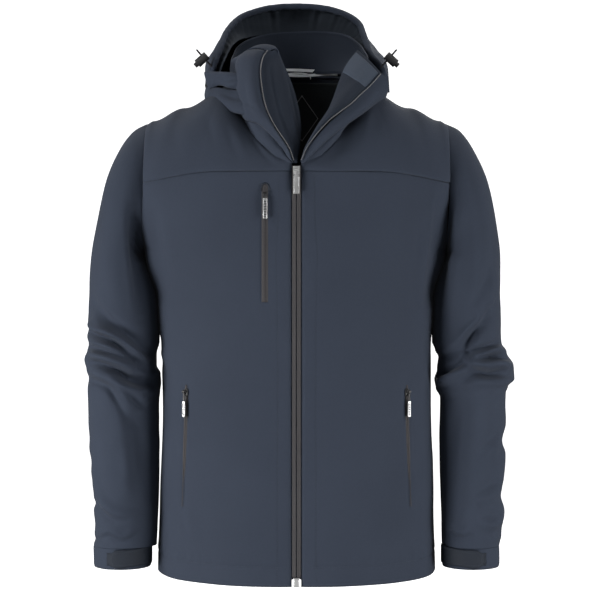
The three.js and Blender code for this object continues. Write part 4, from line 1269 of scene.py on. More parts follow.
@dataclass
class Collar:
    """The open collar: its standing wall, the rolled front ends, the wind flap and the folded lapel."""

    outline: Outline
    stitches: Repeat

    def wall(self) -> Grid:
        """The collar's wall from the wearer's right, round the back, to the left."""
        low = self.outline.neck(np.linspace(-0.80, 0.80, 13))
        low[:, 2] += 3
        top = (
            (-76, -150, 14),
            (-88, -122, 10),
            (-97, -90, 12),
            (-92, -55, 30),
            (-78, -20, 48),
            (-45, 10, 62),
            (0, 24, 67),
            (45, 12, 66),
            (78, -18, 56),
            (95, -55, 38),
            (103, -92, 22),
            (104, -120, 10),
            (98, -140, 2),
        )
        middle = [tuple(np.array(a) * 0.5 + np.array(b) * 0.5 + self.bulge(a)) for a, b in zip(low, top)]
        return patch([tuple(map(tuple, low)), middle, top], (150, 40))

    def bulge(self, place: Sequence[float]) -> np.ndarray:
        """How far the wall's middle bulges out."""
        away = np.array([place[0], place[1] - self.outline.mid_y, 0.0])
        return away / max(np.linalg.norm(away), 1e-6) * 5.0

    def build(self) -> None:
        """Makes the collar's pieces."""
        grid = self.wall()
        n = normals_of(grid, (0, 1, 0))
        grid = grid + n * (1.0 * waves(grid, 60, 91))[..., None]
        piece = cloth("collar_wall", grid, (0, 1, 0), 1.8, Turned(v0=0.8, v1=0.8))
        settle(piece, SHELL, "root", "collar")
        inside = grid - n * 2.6
        piece = cloth("collar_lining", inside[1:-1], (0, 1, 0), 1.2, Turned(v1=0.8))
        settle(piece, FACING_PAINTED_SHADE, "root", "collar_facing")
        self.right_front()
        self.left_front()
        self.gussets()
        self.wind_flap()

    def right_front(self) -> None:
        """The wearer's right front: a standing band that rolls over at its top, and its zip edge."""
        zip_edge = ((-4, -205, -149), (-12, -204, -127), (-32, -201, -96), (-44, -196, -70), (-50, -187, -41),
                    (-52, -178, -16), (-49, -168, 3), (-42, -160, 15))
        rows = [
            zip_edge,
            ((-6, -206, -148), (-15, -206, -127), (-36, -204, -97), (-52, -199, -73), (-61, -190, -44),
             (-64, -181, -18), (-61, -172, 4), (-53, -161, 17)),
            ((-8, -205, -147), (-19, -204, -126), (-42, -200, -97), (-62, -191, -79), (-74, -180, -48),
             (-77, -171, -20), (-75, -163, 4), (-65, -154, 18)),
            ((-10, -202, -146), (-23, -200, -125), (-48, -194, -97), (-72, -180, -84), (-83, -164, -52),
             (-86, -156, -22), (-84, -150, 3), (-75, -146, 16)),
            ((-10, -194, -146), (-24, -190, -125), (-50, -180, -96), (-76, -160, -84), (-88, -144, -52),
             (-90, -138, -22), (-88, -134, 2), (-79, -132, 14)),
        ]
        grid = patch(rows, (110, 56))
        n = normals_of(grid, (-0.4, -1, 0))
        creases = (
            Fold(((-22, -128), (-48, -94), (-62, -56), (-66, -16)), 1.5, 6.0, 0.7),
            Fold(((-60, -88), (-72, -60), (-76, -28)), -1.2, 5.0, 0.4),
            Fold(((-56, -80), (-66, -72), (-80, -66)), 1.2, 4.0, 0.7),
        )
        grid = creased(grid, n, creases)
        piece = cloth("right_collar_band", grid, (-0.4, -1, 0), 2.0, Turned(v0=1.0, u1=1.2, u0=1.0))
        settle(piece, SHELL, "root")
        self.edge_coil("right_collar_coil", grid[0], (0.9, -0.5, 0.2))

        # The band's top rolls back over the inside of the collar.
        roll = [
            ((-42, -161, 13), (-48, -160, 17), (-56, -157, 19), (-66, -152, 19), (-76, -144, 15)),
            ((-34, -155, 18), (-41, -152, 23), (-50, -148, 25), (-60, -144, 23), (-70, -137, 17)),
            ((-27, -147, 18), (-32, -143, 23), (-41, -139, 24), (-51, -135, 21), (-63, -129, 14)),
            ((-25, -142, 10), (-29, -136, 13), (-35, -131, 14), (-45, -127, 11), (-58, -122, 5)),
        ]
        piece = cloth("right_collar_roll", patch(roll, (36, 26)), (-0.2, -1, 1), 2.0, Turned(v1=1.0))
        settle(piece, SHELL, "root")

        # The facing behind the zip edge, running down into the front.
        facing = [
            tuple((x + 0.5, y + 1.8, z) for x, y, z in zip_edge),
            ((0, -200, -150), (-3, -198, -125), (-19, -194, -93), (-28, -189, -65), (-35, -180, -36),
             (-39, -170, -10), (-39, -160, 5), (-35, -154, 15)),
            ((2, -198, -149), (4, -194, -119), (-3, -187, -87), (-10, -177, -57), (-18, -166, -28),
             (-25, -156, -6), (-29, -149, 9), (-30, -146, 18)),
            ((2, -197, -149), (7, -191, -117), (6, -182, -84), (0, -170, -53), (-9, -158, -24),
             (-18, -148, -2), (-23, -142, 11), (-26, -141, 19)),
        ]
        grid = patch(facing, (110, 46))
        n = normals_of(grid, (0.3, -1, 0))
        creases = (
            Fold(((-5, -132), (-22, -86), (-35, -32), (-38, -2)), -1.8, 3.5, 0.3),
            Fold(((1, -120), (-6, -80), (-16, -34), (-24, 0)), 1.2, 4.0, 0.7),
        )
        grid = creased(grid, n, creases)
        piece = cloth("right_collar_facing", grid, (0.3, -1, 0), 1.6, Turned(v1=1.2))
        settle(piece, FACING_PAINTED_SHADE, "root")

        # The loose end that stands off the shoulder, and the base under it.
        flap = [
            ((-76, -160, -18), (-98, -150, -15), (-118, -132, -12), (-137, -113, -10)),
            ((-76, -163, -31), (-97, -153, -28), (-116, -136, -24), (-134, -116, -22)),
            ((-76, -160, -43), (-95, -148, -40), (-109, -134, -33), (-130, -116, -36)),
        ]
        grid = patch(flap, (44, 26))
        n = normals_of(grid, (-0.4, -1, 0))
        grid = creased(grid, n, (Fold(((-80, -30), (-100, -34), (-118, -28)), 2.2, 5.0, 0.8),))
        piece = cloth("right_collar_end_cloth", grid, (-0.4, -1, 0), 3.0, Turned(v0=1.4, v1=1.4, u1=1.2))
        settle(piece, SHELL, "root", "right_collar_end")
        base = [
            ((-72, -166, -42), (-90, -154, -41), (-112, -134, -36), (-130, -106, -32), (-134, -84, -30)),
            ((-66, -176, -57), (-88, -164, -55), (-112, -144, -49), (-131, -112, -43), (-136, -82, -38)),
            ((-56, -184, -73), (-80, -174, -69), (-107, -152, -63), (-130, -118, -53), (-136, -82, -46)),
            ((-46, -187, -85), (-72, -178, -79), (-104, -152, -72), (-128, -118, -60), (-134, -82, -50)),
            ((-46, -172, -87), (-72, -160, -80), (-101, -134, -73), (-122, -100, -62), (-128, -70, -50)),
        ]
        grid = patch(base, (60, 34))
        n = normals_of(grid, (-0.4, -1, 0))
        grid = creased(grid, n, (Fold(((-66, -66), (-92, -62), (-118, -52)), 2.0, 7.0, 0.7),))
        grid = grid + n * (0.7 * waves(grid, 30, 97))[..., None]
        piece = cloth("right_collar_base", grid, (-0.4, -1, 0), 2.0, Turned())
        settle(piece, SHELL, "root")

    def edge_coil(self, name: str, edge: Grid, away: Point) -> None:
        """Half a zip coil sewn to a collar's edge.

        Args:
            name: The piece's name.
            edge: Points of the edge.
            away: Offset of the coil from the edge, in millimetres.
        """
        line = edge[2:-2] + np.array(away)
        coil = self.stitches.lay(name, [line], ZIP_CLOTH, 1.5, 1.05, 2.2, 1.6)
        settle(coil, COIL, "root")

    def left_front(self) -> None:
        """The wearer's left front: the facing turned out like a lapel, and the outside rolled under it."""
        fold_edge = ((4, -205, -147), (12, -203, -126), (27, -199, -99), (42, -190, -76), (50, -178, -58),
                     (59, -162, -32), (70, -145, -4), (88, -126, 21))
        free_edge = ((5, -208, -148), (18, -211, -122), (43, -210, -93), (60, -206, -78), (76, -198, -66),
                     (92, -186, -50), (106, -174, -36), (122, -160, -17))
        half = [
            tuple((a + b) / 2 + c for a, b, c in zip(p, q, (0, -6 * math.sin(math.pi * i / 9), 1)))
            for i, (p, q) in enumerate(zip(fold_edge, free_edge))
        ]
        grid = patch([fold_edge, half, free_edge], (130, 50))
        n = normals_of(grid, (0.2, -1, 0.3))
        creases = (
            Fold(((24, -112), (50, -76), (76, -34)), 1.4, 7.0, 0.6),
            Fold(((60, -54), (78, -30), (96, -12)), -1.0, 6.0, 0.4),
        )
        grid = creased(grid, n, creases)
        piece = cloth("left_collar_lapel_cloth", grid, (0.2, -1, 0.3), 2.0, Turned(v0=1.6, v1=0.8, u1=1.0))
        settle(piece, FACING_PAINTED_SHADE, "root", "left_collar_lapel")
        strip = grid[2:-3, 104:128] + n[2:-3, 104:128] * 0.7
        piece = cloth("left_lapel_binding", strip, (0.2, -1, 0.3), 0.9, Turned(0.5, 0.5, 0.5, 0.5, 1.2))
        settle(piece, BINDING, "root")
        self.edge_coil("left_lapel_coil", grid[-1], (0.6, -0.9, -0.5))
        seam = (grid + n * 0.3)[-5, 4:-4]
        stitches = self.stitches.lay("left_lapel_stitches", [seam], THREAD, 3.0, 2.2, 0.5, 0.5)
        settle(stitches, THREAD, "root")

        under = [
            ((6, -206, -149), (20, -208, -124), (46, -207, -94), (78, -195, -66), (104, -174, -38),
             (123, -158, -18)),
            ((9, -208, -150), (27, -209, -128), (55, -207, -99), (88, -193, -72), (114, -170, -46),
             (131, -152, -28)),
            ((12, -206, -149), (32, -205, -129), (60, -201, -103), (94, -182, -78), (119, -158, -54),
             (133, -138, -40)),
            ((13, -202, -146), (33, -199, -127), (60, -192, -103), (92, -171, -80), (117, -146, -60),
             (128, -122, -52)),
            ((12, -192, -142), (31, -184, -122), (57, -172, -98), (86, -148, -74), (110, -122, -54),
             (122, -100, -48)),
        ]
        grid = patch(under, (110, 46))
        n = normals_of(grid, (0.3, -1, -0.3))
        grid = creased(grid, n, (Fold(((30, -124), (62, -98), (96, -70), (122, -44)), 1.2, 5.0, 0.7),))
        piece = cloth("left_collar_roll", grid, (0.3, -1, -0.3), 2.0, Turned())
        settle(piece, SHELL, "root")

    def gussets(self) -> None:
        """The yoke's cloth where it runs in under the collar's front ends."""
        ends = {
            Side.RIGHT: ((-9, -199, -147), (-22, -198, -127), (-36, -195, -110), (-49, -190, -98),
                         (-62, -183, -89), (-76, -172, -83)),
            Side.LEFT: ((12, -199, -144), (30, -196, -127), (46, -193, -112), (61, -188, -103),
                        (77, -178, -92), (95, -164, -80)),
        }
        for side, near in ends.items():
            turn = np.array((0.973, 0.93, 0.87, 0.80, 0.72, 0.62)) * side.value
            far = self.outline.neck(turn)
            far = far + np.array([side.value * 1.5, 1.4, -1.5])
            close = np.array(near, float) + np.array([-side.value * 3.0, 3.0, 2.0])
            middle = (far + close) / 2 + np.array([0.0, -3.5, 0.0])
            grid = patch([far, middle, close], (90, 24))
            n = normals_of(grid, (0, -1, 0.3))
            grid = grid + n * (0.8 * waves(grid, 22, 131))[..., None]
            settle(cloth(side.label + "_neck_gusset", grid, (0, -1, 0.3), 1.6), SHELL, "root")

    def wind_flap(self) -> None:
        """The long flap behind the main zip."""
        low, high = (np.array(c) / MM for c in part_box("wind_flap"))
        x = np.linspace(low[0], high[0], 13)[None, :]
        z = np.linspace(low[2], high[2], 120)[:, None]
        grid = np.stack(np.broadcast_arrays(x, low[1] + 0 * x, z), axis=-1)
        grid[..., 1] += 0.5 * waves(grid, 60, 99)
        settle(cloth("wind_flap_cloth", grid, (0, -1, 0), 1.1), FACING_PAINTED_SHADE, "root", "wind_flap")


@dataclass
class Hood:
    """The hood, fallen back behind the collar, with its gathered rim."""

    rim: tuple[Point, ...] = (
        (-128, -92, -26), (-124, -94, -2), (-115, -76, 28), (-106, -46, 57), (-89, -14, 82),
        (-66, 6, 96), (-36, 20, 105), (2, 27, 108), (42, 20, 104), (72, 4, 93),
        (94, -20, 75), (103, -48, 48), (110, -72, 22), (127, -88, -4), (131, -82, -32),
    )
    arch: tuple[Point, ...] = (
        (-116, -96, -22), (-109, -96, 2), (-101, -80, 22), (-93, -58, 38), (-80, -26, 50),
        (-58, 4, 59), (-32, 22, 63), (0, 30, 66), (32, 26, 66), (58, 14, 61),
        (76, -8, 53), (88, -34, 41), (95, -60, 26), (103, -80, 4), (112, -84, -24),
    )
    rows: tuple[tuple[float, float, float, float, float], ...] = (
        (137, -52, -18, 92, 80),
        (138, -20, -28, 112, 14),
        (124, 12, -54, 102, -80),
        (100, 6, -46, 68, -68),
        (106, -46, -16, 20, 4),
    )
    cells: tuple[int, int] = (170, 130)
    gathers: float = 2.1

    def back(self) -> Grid:
        """The hood's outside, from the rim round to the neck seam, columns from right to left."""
        angle = math.pi * (1 - np.linspace(0, 1, len(self.rim)))
        rise = np.clip(np.sin(angle), 0, 1)
        rim = np.array(self.rim, float)
        roll = rim + np.stack([0.05 * rim[:, 0], 2 + 14 * rise, -5 * (1 - rise)], axis=-1)
        threads = [rim, roll]
        for x, y, z, centre_y, centre_z in self.rows:
            row = (x * np.cos(angle), mix(y, centre_y, rise**1.3), mix(z, centre_z, rise**0.72))
            threads.append(np.stack(row, axis=-1))
        grid = patch(threads, self.cells)
        n = normals_of(grid, (0, 1, 0))
        v = np.linspace(0, 1, self.cells[1] + 1)[:, None]
        soft = 2.2 * waves(grid, 75, 105) + 0.4 * waves(grid, 40, 106)
        return grid + n * (soft * smooth(0, 0.2, v) + self.gather(v / 0.12))[..., None]

    def gather(self, away: np.ndarray) -> np.ndarray:
        """Small radial puckers that fade with the distance from the rim.

        Args:
            away: 0 at the rim, 1 where the puckers end.

        Returns:
            Heights for each row and column.
        """
        u = np.linspace(0, 1, self.cells[0] + 1)[None, :]
        rng = np.random.default_rng(117)
        total = sum(
            np.sin(2 * math.pi * (rate * u + rng.uniform())) * rng.uniform(0.4, 1.0)
            for rate in (19, 27, 34, 43)
        )
        return self.gathers * total / 2 * np.clip(1 - away, 0, 1) ** 1.2

    def build(self) -> None:
        """Makes the hood's shell, gathered band, lining and rim."""
        grid = self.back()
        settle(cloth("hood_shell", grid, (0, 1, 0), 1.6), SHELL, "root", "hood")
        n = normals_of(grid, (0, 1, 0))
        piece = cloth("hood_lining_cloth", (grid - n * 3.2)[8:-4], (0, 1, 0), 0.8)
        settle(piece, LINING, "root", "hood_lining")

        middle = [
            ((a[0] + b[0]) / 2, (a[1] + b[1]) / 2 + 9, (a[2] + b[2]) / 2 + 2)
            for a, b in zip(self.rim, self.arch)
        ]
        band = patch([self.rim, middle, self.arch], (self.cells[0], 44))
        n = normals_of(band, (0, -1, 0.3))
        v = np.linspace(0, 1, 45)[:, None]
        drape = 1.2 * waves(band, 42, 121) * smooth(0, 0.3, v)
        band = band + n * (self.gather(v * 0.85) * 1.25 + drape)[..., None]
        settle(cloth("hood_inner_band", band, (0, -1, 0.3), 1.2), HOOD_INSIDE_PAINTED_LIGHT, "root")
        self.casing()

    def casing(self) -> None:
        """The casing along the rim, which the cord runs in."""
        t = np.linspace(0, 1, 341)
        line = through(self.rim, t)
        inward = through(self.arch, t) - line
        run = np.gradient(line, axis=0)
        run /= np.linalg.norm(run, axis=-1, keepdims=True)
        inward -= run * (inward * run).sum(-1, keepdims=True)
        inward /= np.linalg.norm(inward, axis=-1, keepdims=True)
        thick = np.cross(run, inward)
        turn = np.linspace(0, 2 * math.pi, 20, endpoint=False)[None, :, None]
        ripple = 1 + 0.22 * np.clip(np.cos(turn), -0.2, 1) * waves(line, 10, 111)[:, None, None]
        high = 3.6 * ripple * np.cos(turn)
        wide = 2.8 * ripple * np.sin(turn)
        ring = line[:, None] + inward[:, None] * (high + 1.2) + thick[:, None] * wide
        piece = cloth("hood_rim", ring, tuple(thick[170]), 1.2, ring=True)
        settle(piece, SHELL, "root", "hood_rim_casing")


# ------------------------------------------------------------------ neck trims


@dataclass
class NeckTrims:
    """The neck tape, the lining under the yoke and a plain label patch."""

    outline: Outline

    def build(self) -> None:
        """Makes the trims."""
        shape = self.outline
        low, high = (np.array(c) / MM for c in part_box("neck_tape"))
        u = np.linspace(0, 1, 60)[None, :]
        v = np.linspace(0, 1, 7)[:, None]
        x = mix(-24.0, 62.0, u)
        y = mix(-2.0, 6.0, smooth(0, 0.5, u)) + 0 * v - 4.0
        for index, (z0, z1) in enumerate(((5.0, 3.0), (-0.5, -3.0))):
            bend = (1.2, -2.0)[index] * np.sin(u * math.pi * 1.3 + index * 0.8)
            z = mix(z0, z1, u) + (v - 0.5) * 4.2 + bend
            grid = np.stack(np.broadcast_arrays(x, y - 1.2 * index, z), axis=-1)
            name = ("neck_tape_cloth", "neck_tape_second")[index]
            nodes = ("neck_tape",) if index == 0 else ()
            settle(cloth(name, grid, (0, -1, 0), 0.5), WEBBING, "root", *nodes)
        half = shape.yoke(Face.BACK, (40, 30))
        yoke = np.concatenate([mirrored(half, Side.RIGHT)[:, :0:-1], half], axis=1)[2:-3, 8:-8]
        n = normals_of(yoke, (0, 1, 1))
        piece = cloth("yoke_lining_cloth", yoke - n * 8.0, (0, 1, 1), 0.8)
        settle(piece, LINING, "root", "yoke_lining")
        self.label(yoke, n)

    def label(self, yoke: Grid, n: Grid) -> None:
        """A plain diamond outline on the lining, with no lettering.

        Args:
            yoke: The back yoke's grid.
            n: Its normals.
        """
        surface = yoke - n * 9.6
        flat = surface.reshape(-1, 3)
        corners = ((8, -31), (33, -66), (8, -101), (-17, -66), (8, -31))
        path = []
        for (x0, z0), (x1, z1) in zip(corners, corners[1:]):
            for t in np.linspace(0, 1, 14, endpoint=False):
                x, z = mix(x0, x1, t), mix(z0, z1, t)
                near = flat[np.argmin((flat[:, 0] - x) ** 2 + (flat[:, 2] - z) ** 2)]
                path.append((x, near[1], z))
        points = np.array(path + path[:1])
        away = np.array([0, -0.5, 0])
        ring = np.stack([points + away, points + away + np.array([0.0, 0.0, 1.3])])
        centre = points[:-1].mean(axis=0)
        ring[1] = points + (centre - points) * 0.05 + away
        piece = cloth("label_patch_print", ring, (0, -1, 0), 0.3)
        settle(piece, LABEL_PRINT, "root", "label_patch")


# ------------------------------------------------------------------ zips


def rounded_box(name: str, low: Point, high: Point, radius: float, segments: int = 3) -> bpy.types.Object:
    """A box with rounded edges, in metres from corners in millimetres.

    Args:
        name: The piece's name.
        low: Lowest corner.
        high: Highest corner.
        radius: Radius of the edges.
        segments: Faces across each rounded edge.

    Returns:
        The object.
    """
    made = bmesh.new()
    bmesh.ops.create_cube(made, size=1.0)
    a, b = np.array(low, float), np.array(high, float)
    for vertex in made.verts:
        vertex.co = Vector(((a + b) / 2 + np.array(vertex.co) * (b - a)) * MM)
    bmesh.ops.bevel(
        made, geom=made.edges[:], offset=radius * MM, segments=segments, profile=0.5, affect="EDGES"
    )
    mesh = bpy.data.meshes.new(name)
    made.to_mesh(mesh)
    made.free()
    mesh.polygons.foreach_set("use_smooth", [True] * len(mesh.polygons))
    thing = bpy.data.objects.new(name, mesh)
    bpy.context.scene.collection.objects.link(thing)
    return thing


def merge(name: str, pieces: Sequence[bpy.types.Object]) -> bpy.types.Object:
    """Joins pieces into one object with one mesh.

    Args:
        name: The joined piece's name.
        pieces: The pieces, which are used up.

    Returns:
        The joined object.
    """
    made = bmesh.new()
    for piece in pieces:
        made.from_mesh(piece.data)
        bpy.data.objects.remove(piece)
    mesh = bpy.data.meshes.new(name)
    made.to_mesh(mesh)
    made.free()
    thing = bpy.data.objects.new(name, mesh)
    bpy.context.scene.collection.objects.link(thing)
    return thing


@dataclass
class MainZip:
    """The full-length front zip with its tapes, coil, slider, puller and retaining box."""

    outline: Outline
    stitches: Repeat
    coil_pitch: float = 1.5

    def build(self) -> None:
        """Makes the zip's pieces."""
        for side in Side:
            label = side.label
            low, high = (np.array(c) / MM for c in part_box(label + "_main_zip_tape"))
            x = np.linspace(low[0], high[0], 7)[None, :]
            z = np.linspace(low[2], high[2], 200)[:, None]
            crown = -0.5 * np.exp(-((np.abs(x) - 1.6) ** 2) / 1.6)
            grid = np.stack(np.broadcast_arrays(x, low[1] + 0.5 + crown, z), axis=-1)
            piece = cloth(label + "_main_tape", grid, (0, -1, 0), 1.0)
            settle(piece, ZIP_CLOTH, "root", label + "_main_zip_tape")
            line = np.stack(
                [np.full(200, side.value * 1.75), np.full(200, low[1] + 0.35), z[:, 0]], axis=-1
            )
            coil = self.stitches.lay(
                label + "_main_coil", [line], ZIP_CLOTH, self.coil_pitch, 1.0, 2.3, 0.9
            )
            settle(coil, ZIP_CLOTH, "root")
        self.slider()
        self.puller()

    def slider(self) -> None:
        """The slider's body, smoothed, and the retaining box."""
        named = (("main_zip_slider", "main_slider_body"), ("zip_retaining_box", "main_retaining_box"))
        for node, name in named:
            low, high = (tuple(np.array(c) / MM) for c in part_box(node))
            if node == "zip_retaining_box":
                piece = rounded_box(name, low, high, 1.0)
            else:
                piece = self.slider_body(name, low, high)
            body = "main_slider" if node == "main_zip_slider" else "root"
            settle(piece, SILVER, body, node)

    def slider_body(self, name: str, low: Point, high: Point) -> bpy.types.Object:
        """A slider: two waisted plates, the post between them and a bridge for the puller."""
        front = (low[1] + 3.6, low[1] + 6.2)
        parts = []
        for index, (y0, y1) in enumerate((front, (high[1] - 1.2, high[1]))):
            corners = (low[0] + 0.2, y0, low[2]), (high[0] - 0.2, y1, high[2])
            plate = rounded_box(f"{name}_{index}", *corners, 0.55)
            for vertex in plate.data.vertices:
                t = (vertex.co.z / MM - low[2]) / (high[2] - low[2])
                vertex.co.x *= 0.74 + 0.26 * abs(2 * t - 0.9)
            parts.append(plate)
        corners = (-0.3, front[1] - 0.4, high[2] - 5), (0.3, high[1] - 0.6, high[2] - 0.4)
        parts.append(rounded_box(name + "_post", *corners, 0.1))
        middle = high[2] - 5
        for index, side in enumerate((-1, 1)):
            xs = sorted((side * 3.3, side * 4.6))
            corners = (xs[0], low[1] + 0.1, middle - 1.5), (xs[1], front[1], middle + 1.5)
            parts.append(rounded_box(f"{name}_ear{index}", *corners, 0.5))
        corners = (-4, low[1] + 0.3, middle - 0.8), (4, low[1] + 1.9, middle + 0.8)
        parts.append(rounded_box(name + "_pin", *corners, 0.7))
        return merge(name, parts)

    def puller(self) -> None:
        """The main puller: a silver frame round a ribbed grip."""
        low, high = (tuple(np.array(c) / MM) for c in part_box("main_zip_puller"))
        settle(puller_shape("main_puller_grip", low, high, 5.6), SILVER, "main_puller", "main_zip_puller")


def puller_shape(
    name: str, low: Point, high: Point, eye_width: float, grip: float = 0.70
) -> bpy.types.Object:
    """A puller: an eye, a neck and a framed grip with ribs across it.

    Args:
        name: The piece's name.
        low: Lowest corner of its space.
        high: Highest corner of its space.
        eye_width: Width of the eye at the top.
        grip: Share of the height that the grip takes.

    Returns:
        The object.
    """
    middle_x, middle_y = (low[0] + high[0]) / 2, (low[1] + high[1]) / 2
    width, height = high[0] - low[0], high[2] - low[2]
    half = width / 2
    top = low[2] + height * grip
    thick = 0.95
    rail = width * 0.16
    eye_r = (high[1] - low[1]) / 2
    axis_z = high[2] - eye_r
    parts = []
    made = bmesh.new()
    rim, steps = 14, 4
    rings = [(eye_r, -1), (eye_r, 1), (eye_r * 0.58, 1), (eye_r * 0.58, -1)]
    layers = []
    for radius, end in rings:
        row = []
        for i in range(rim):
            a = 2 * math.pi * i / rim
            across, up = radius * math.cos(a), radius * math.sin(a)
            place = (middle_x + end * eye_width / 2, middle_y + across, axis_z + up)
            row.append(made.verts.new(Vector(place) * MM))
        layers.append(row)
    for k in range(steps):
        a, b = layers[k], layers[(k + 1) % steps]
        for i in range(rim):
            j = (i + 1) % rim
            made.faces.new((a[i], a[j], b[j], b[i]))
    bmesh.ops.recalc_face_normals(made, faces=made.faces[:])
    mesh = bpy.data.meshes.new(name + "_eye")
    made.to_mesh(mesh)
    made.free()
    eye = bpy.data.objects.new(name + "_eye", mesh)
    bpy.context.scene.collection.objects.link(eye)
    parts.append(eye)

    def bar(tag: str, x0: float, x1: float, z0: float, z1: float, y_half: float, round_edge: float) -> None:
        """Adds one rounded bar of the puller."""
        lowest = (middle_x + x0, middle_y - y_half, z0)
        highest = (middle_x + x1, middle_y + y_half, z1)
        parts.append(rounded_box(f"{name}_{tag}", lowest, highest, round_edge))

    neck = eye_width * 0.38
    bar("neck", -neck, neck, top - 1.0, axis_z - eye_r * 0.7, thick * 0.8, 0.4)
    bar("rail_l", -half, -half + rail, low[2] + 0.4, top, thick, 0.45)
    bar("rail_r", half - rail, half, low[2] + 0.4, top, thick, 0.45)
    bar("foot", -half + 0.3, half - 0.3, low[2], low[2] + rail * 1.3, thick, 0.45)
    bar("head", -half + 0.2, half - 0.2, top - rail * 2.4, top + 0.8, thick, 0.5)
    bar("web", -half + rail * 0.6, half - rail * 0.6, low[2] + rail, top - rail, thick * 0.45, 0.3)
    count = max(int((top - low[2] - rail * 4) / 2.1), 3)
    for i in range(count):
        z = mix(low[2] + rail * 2.2, top - rail * 3.2, i / (count - 1))
        bar(f"rib{i}", -half + rail * 1.2, half - rail * 1.2, z - 0.5, z + 0.5, thick * 0.85, 0.3)
    return merge(name, parts)


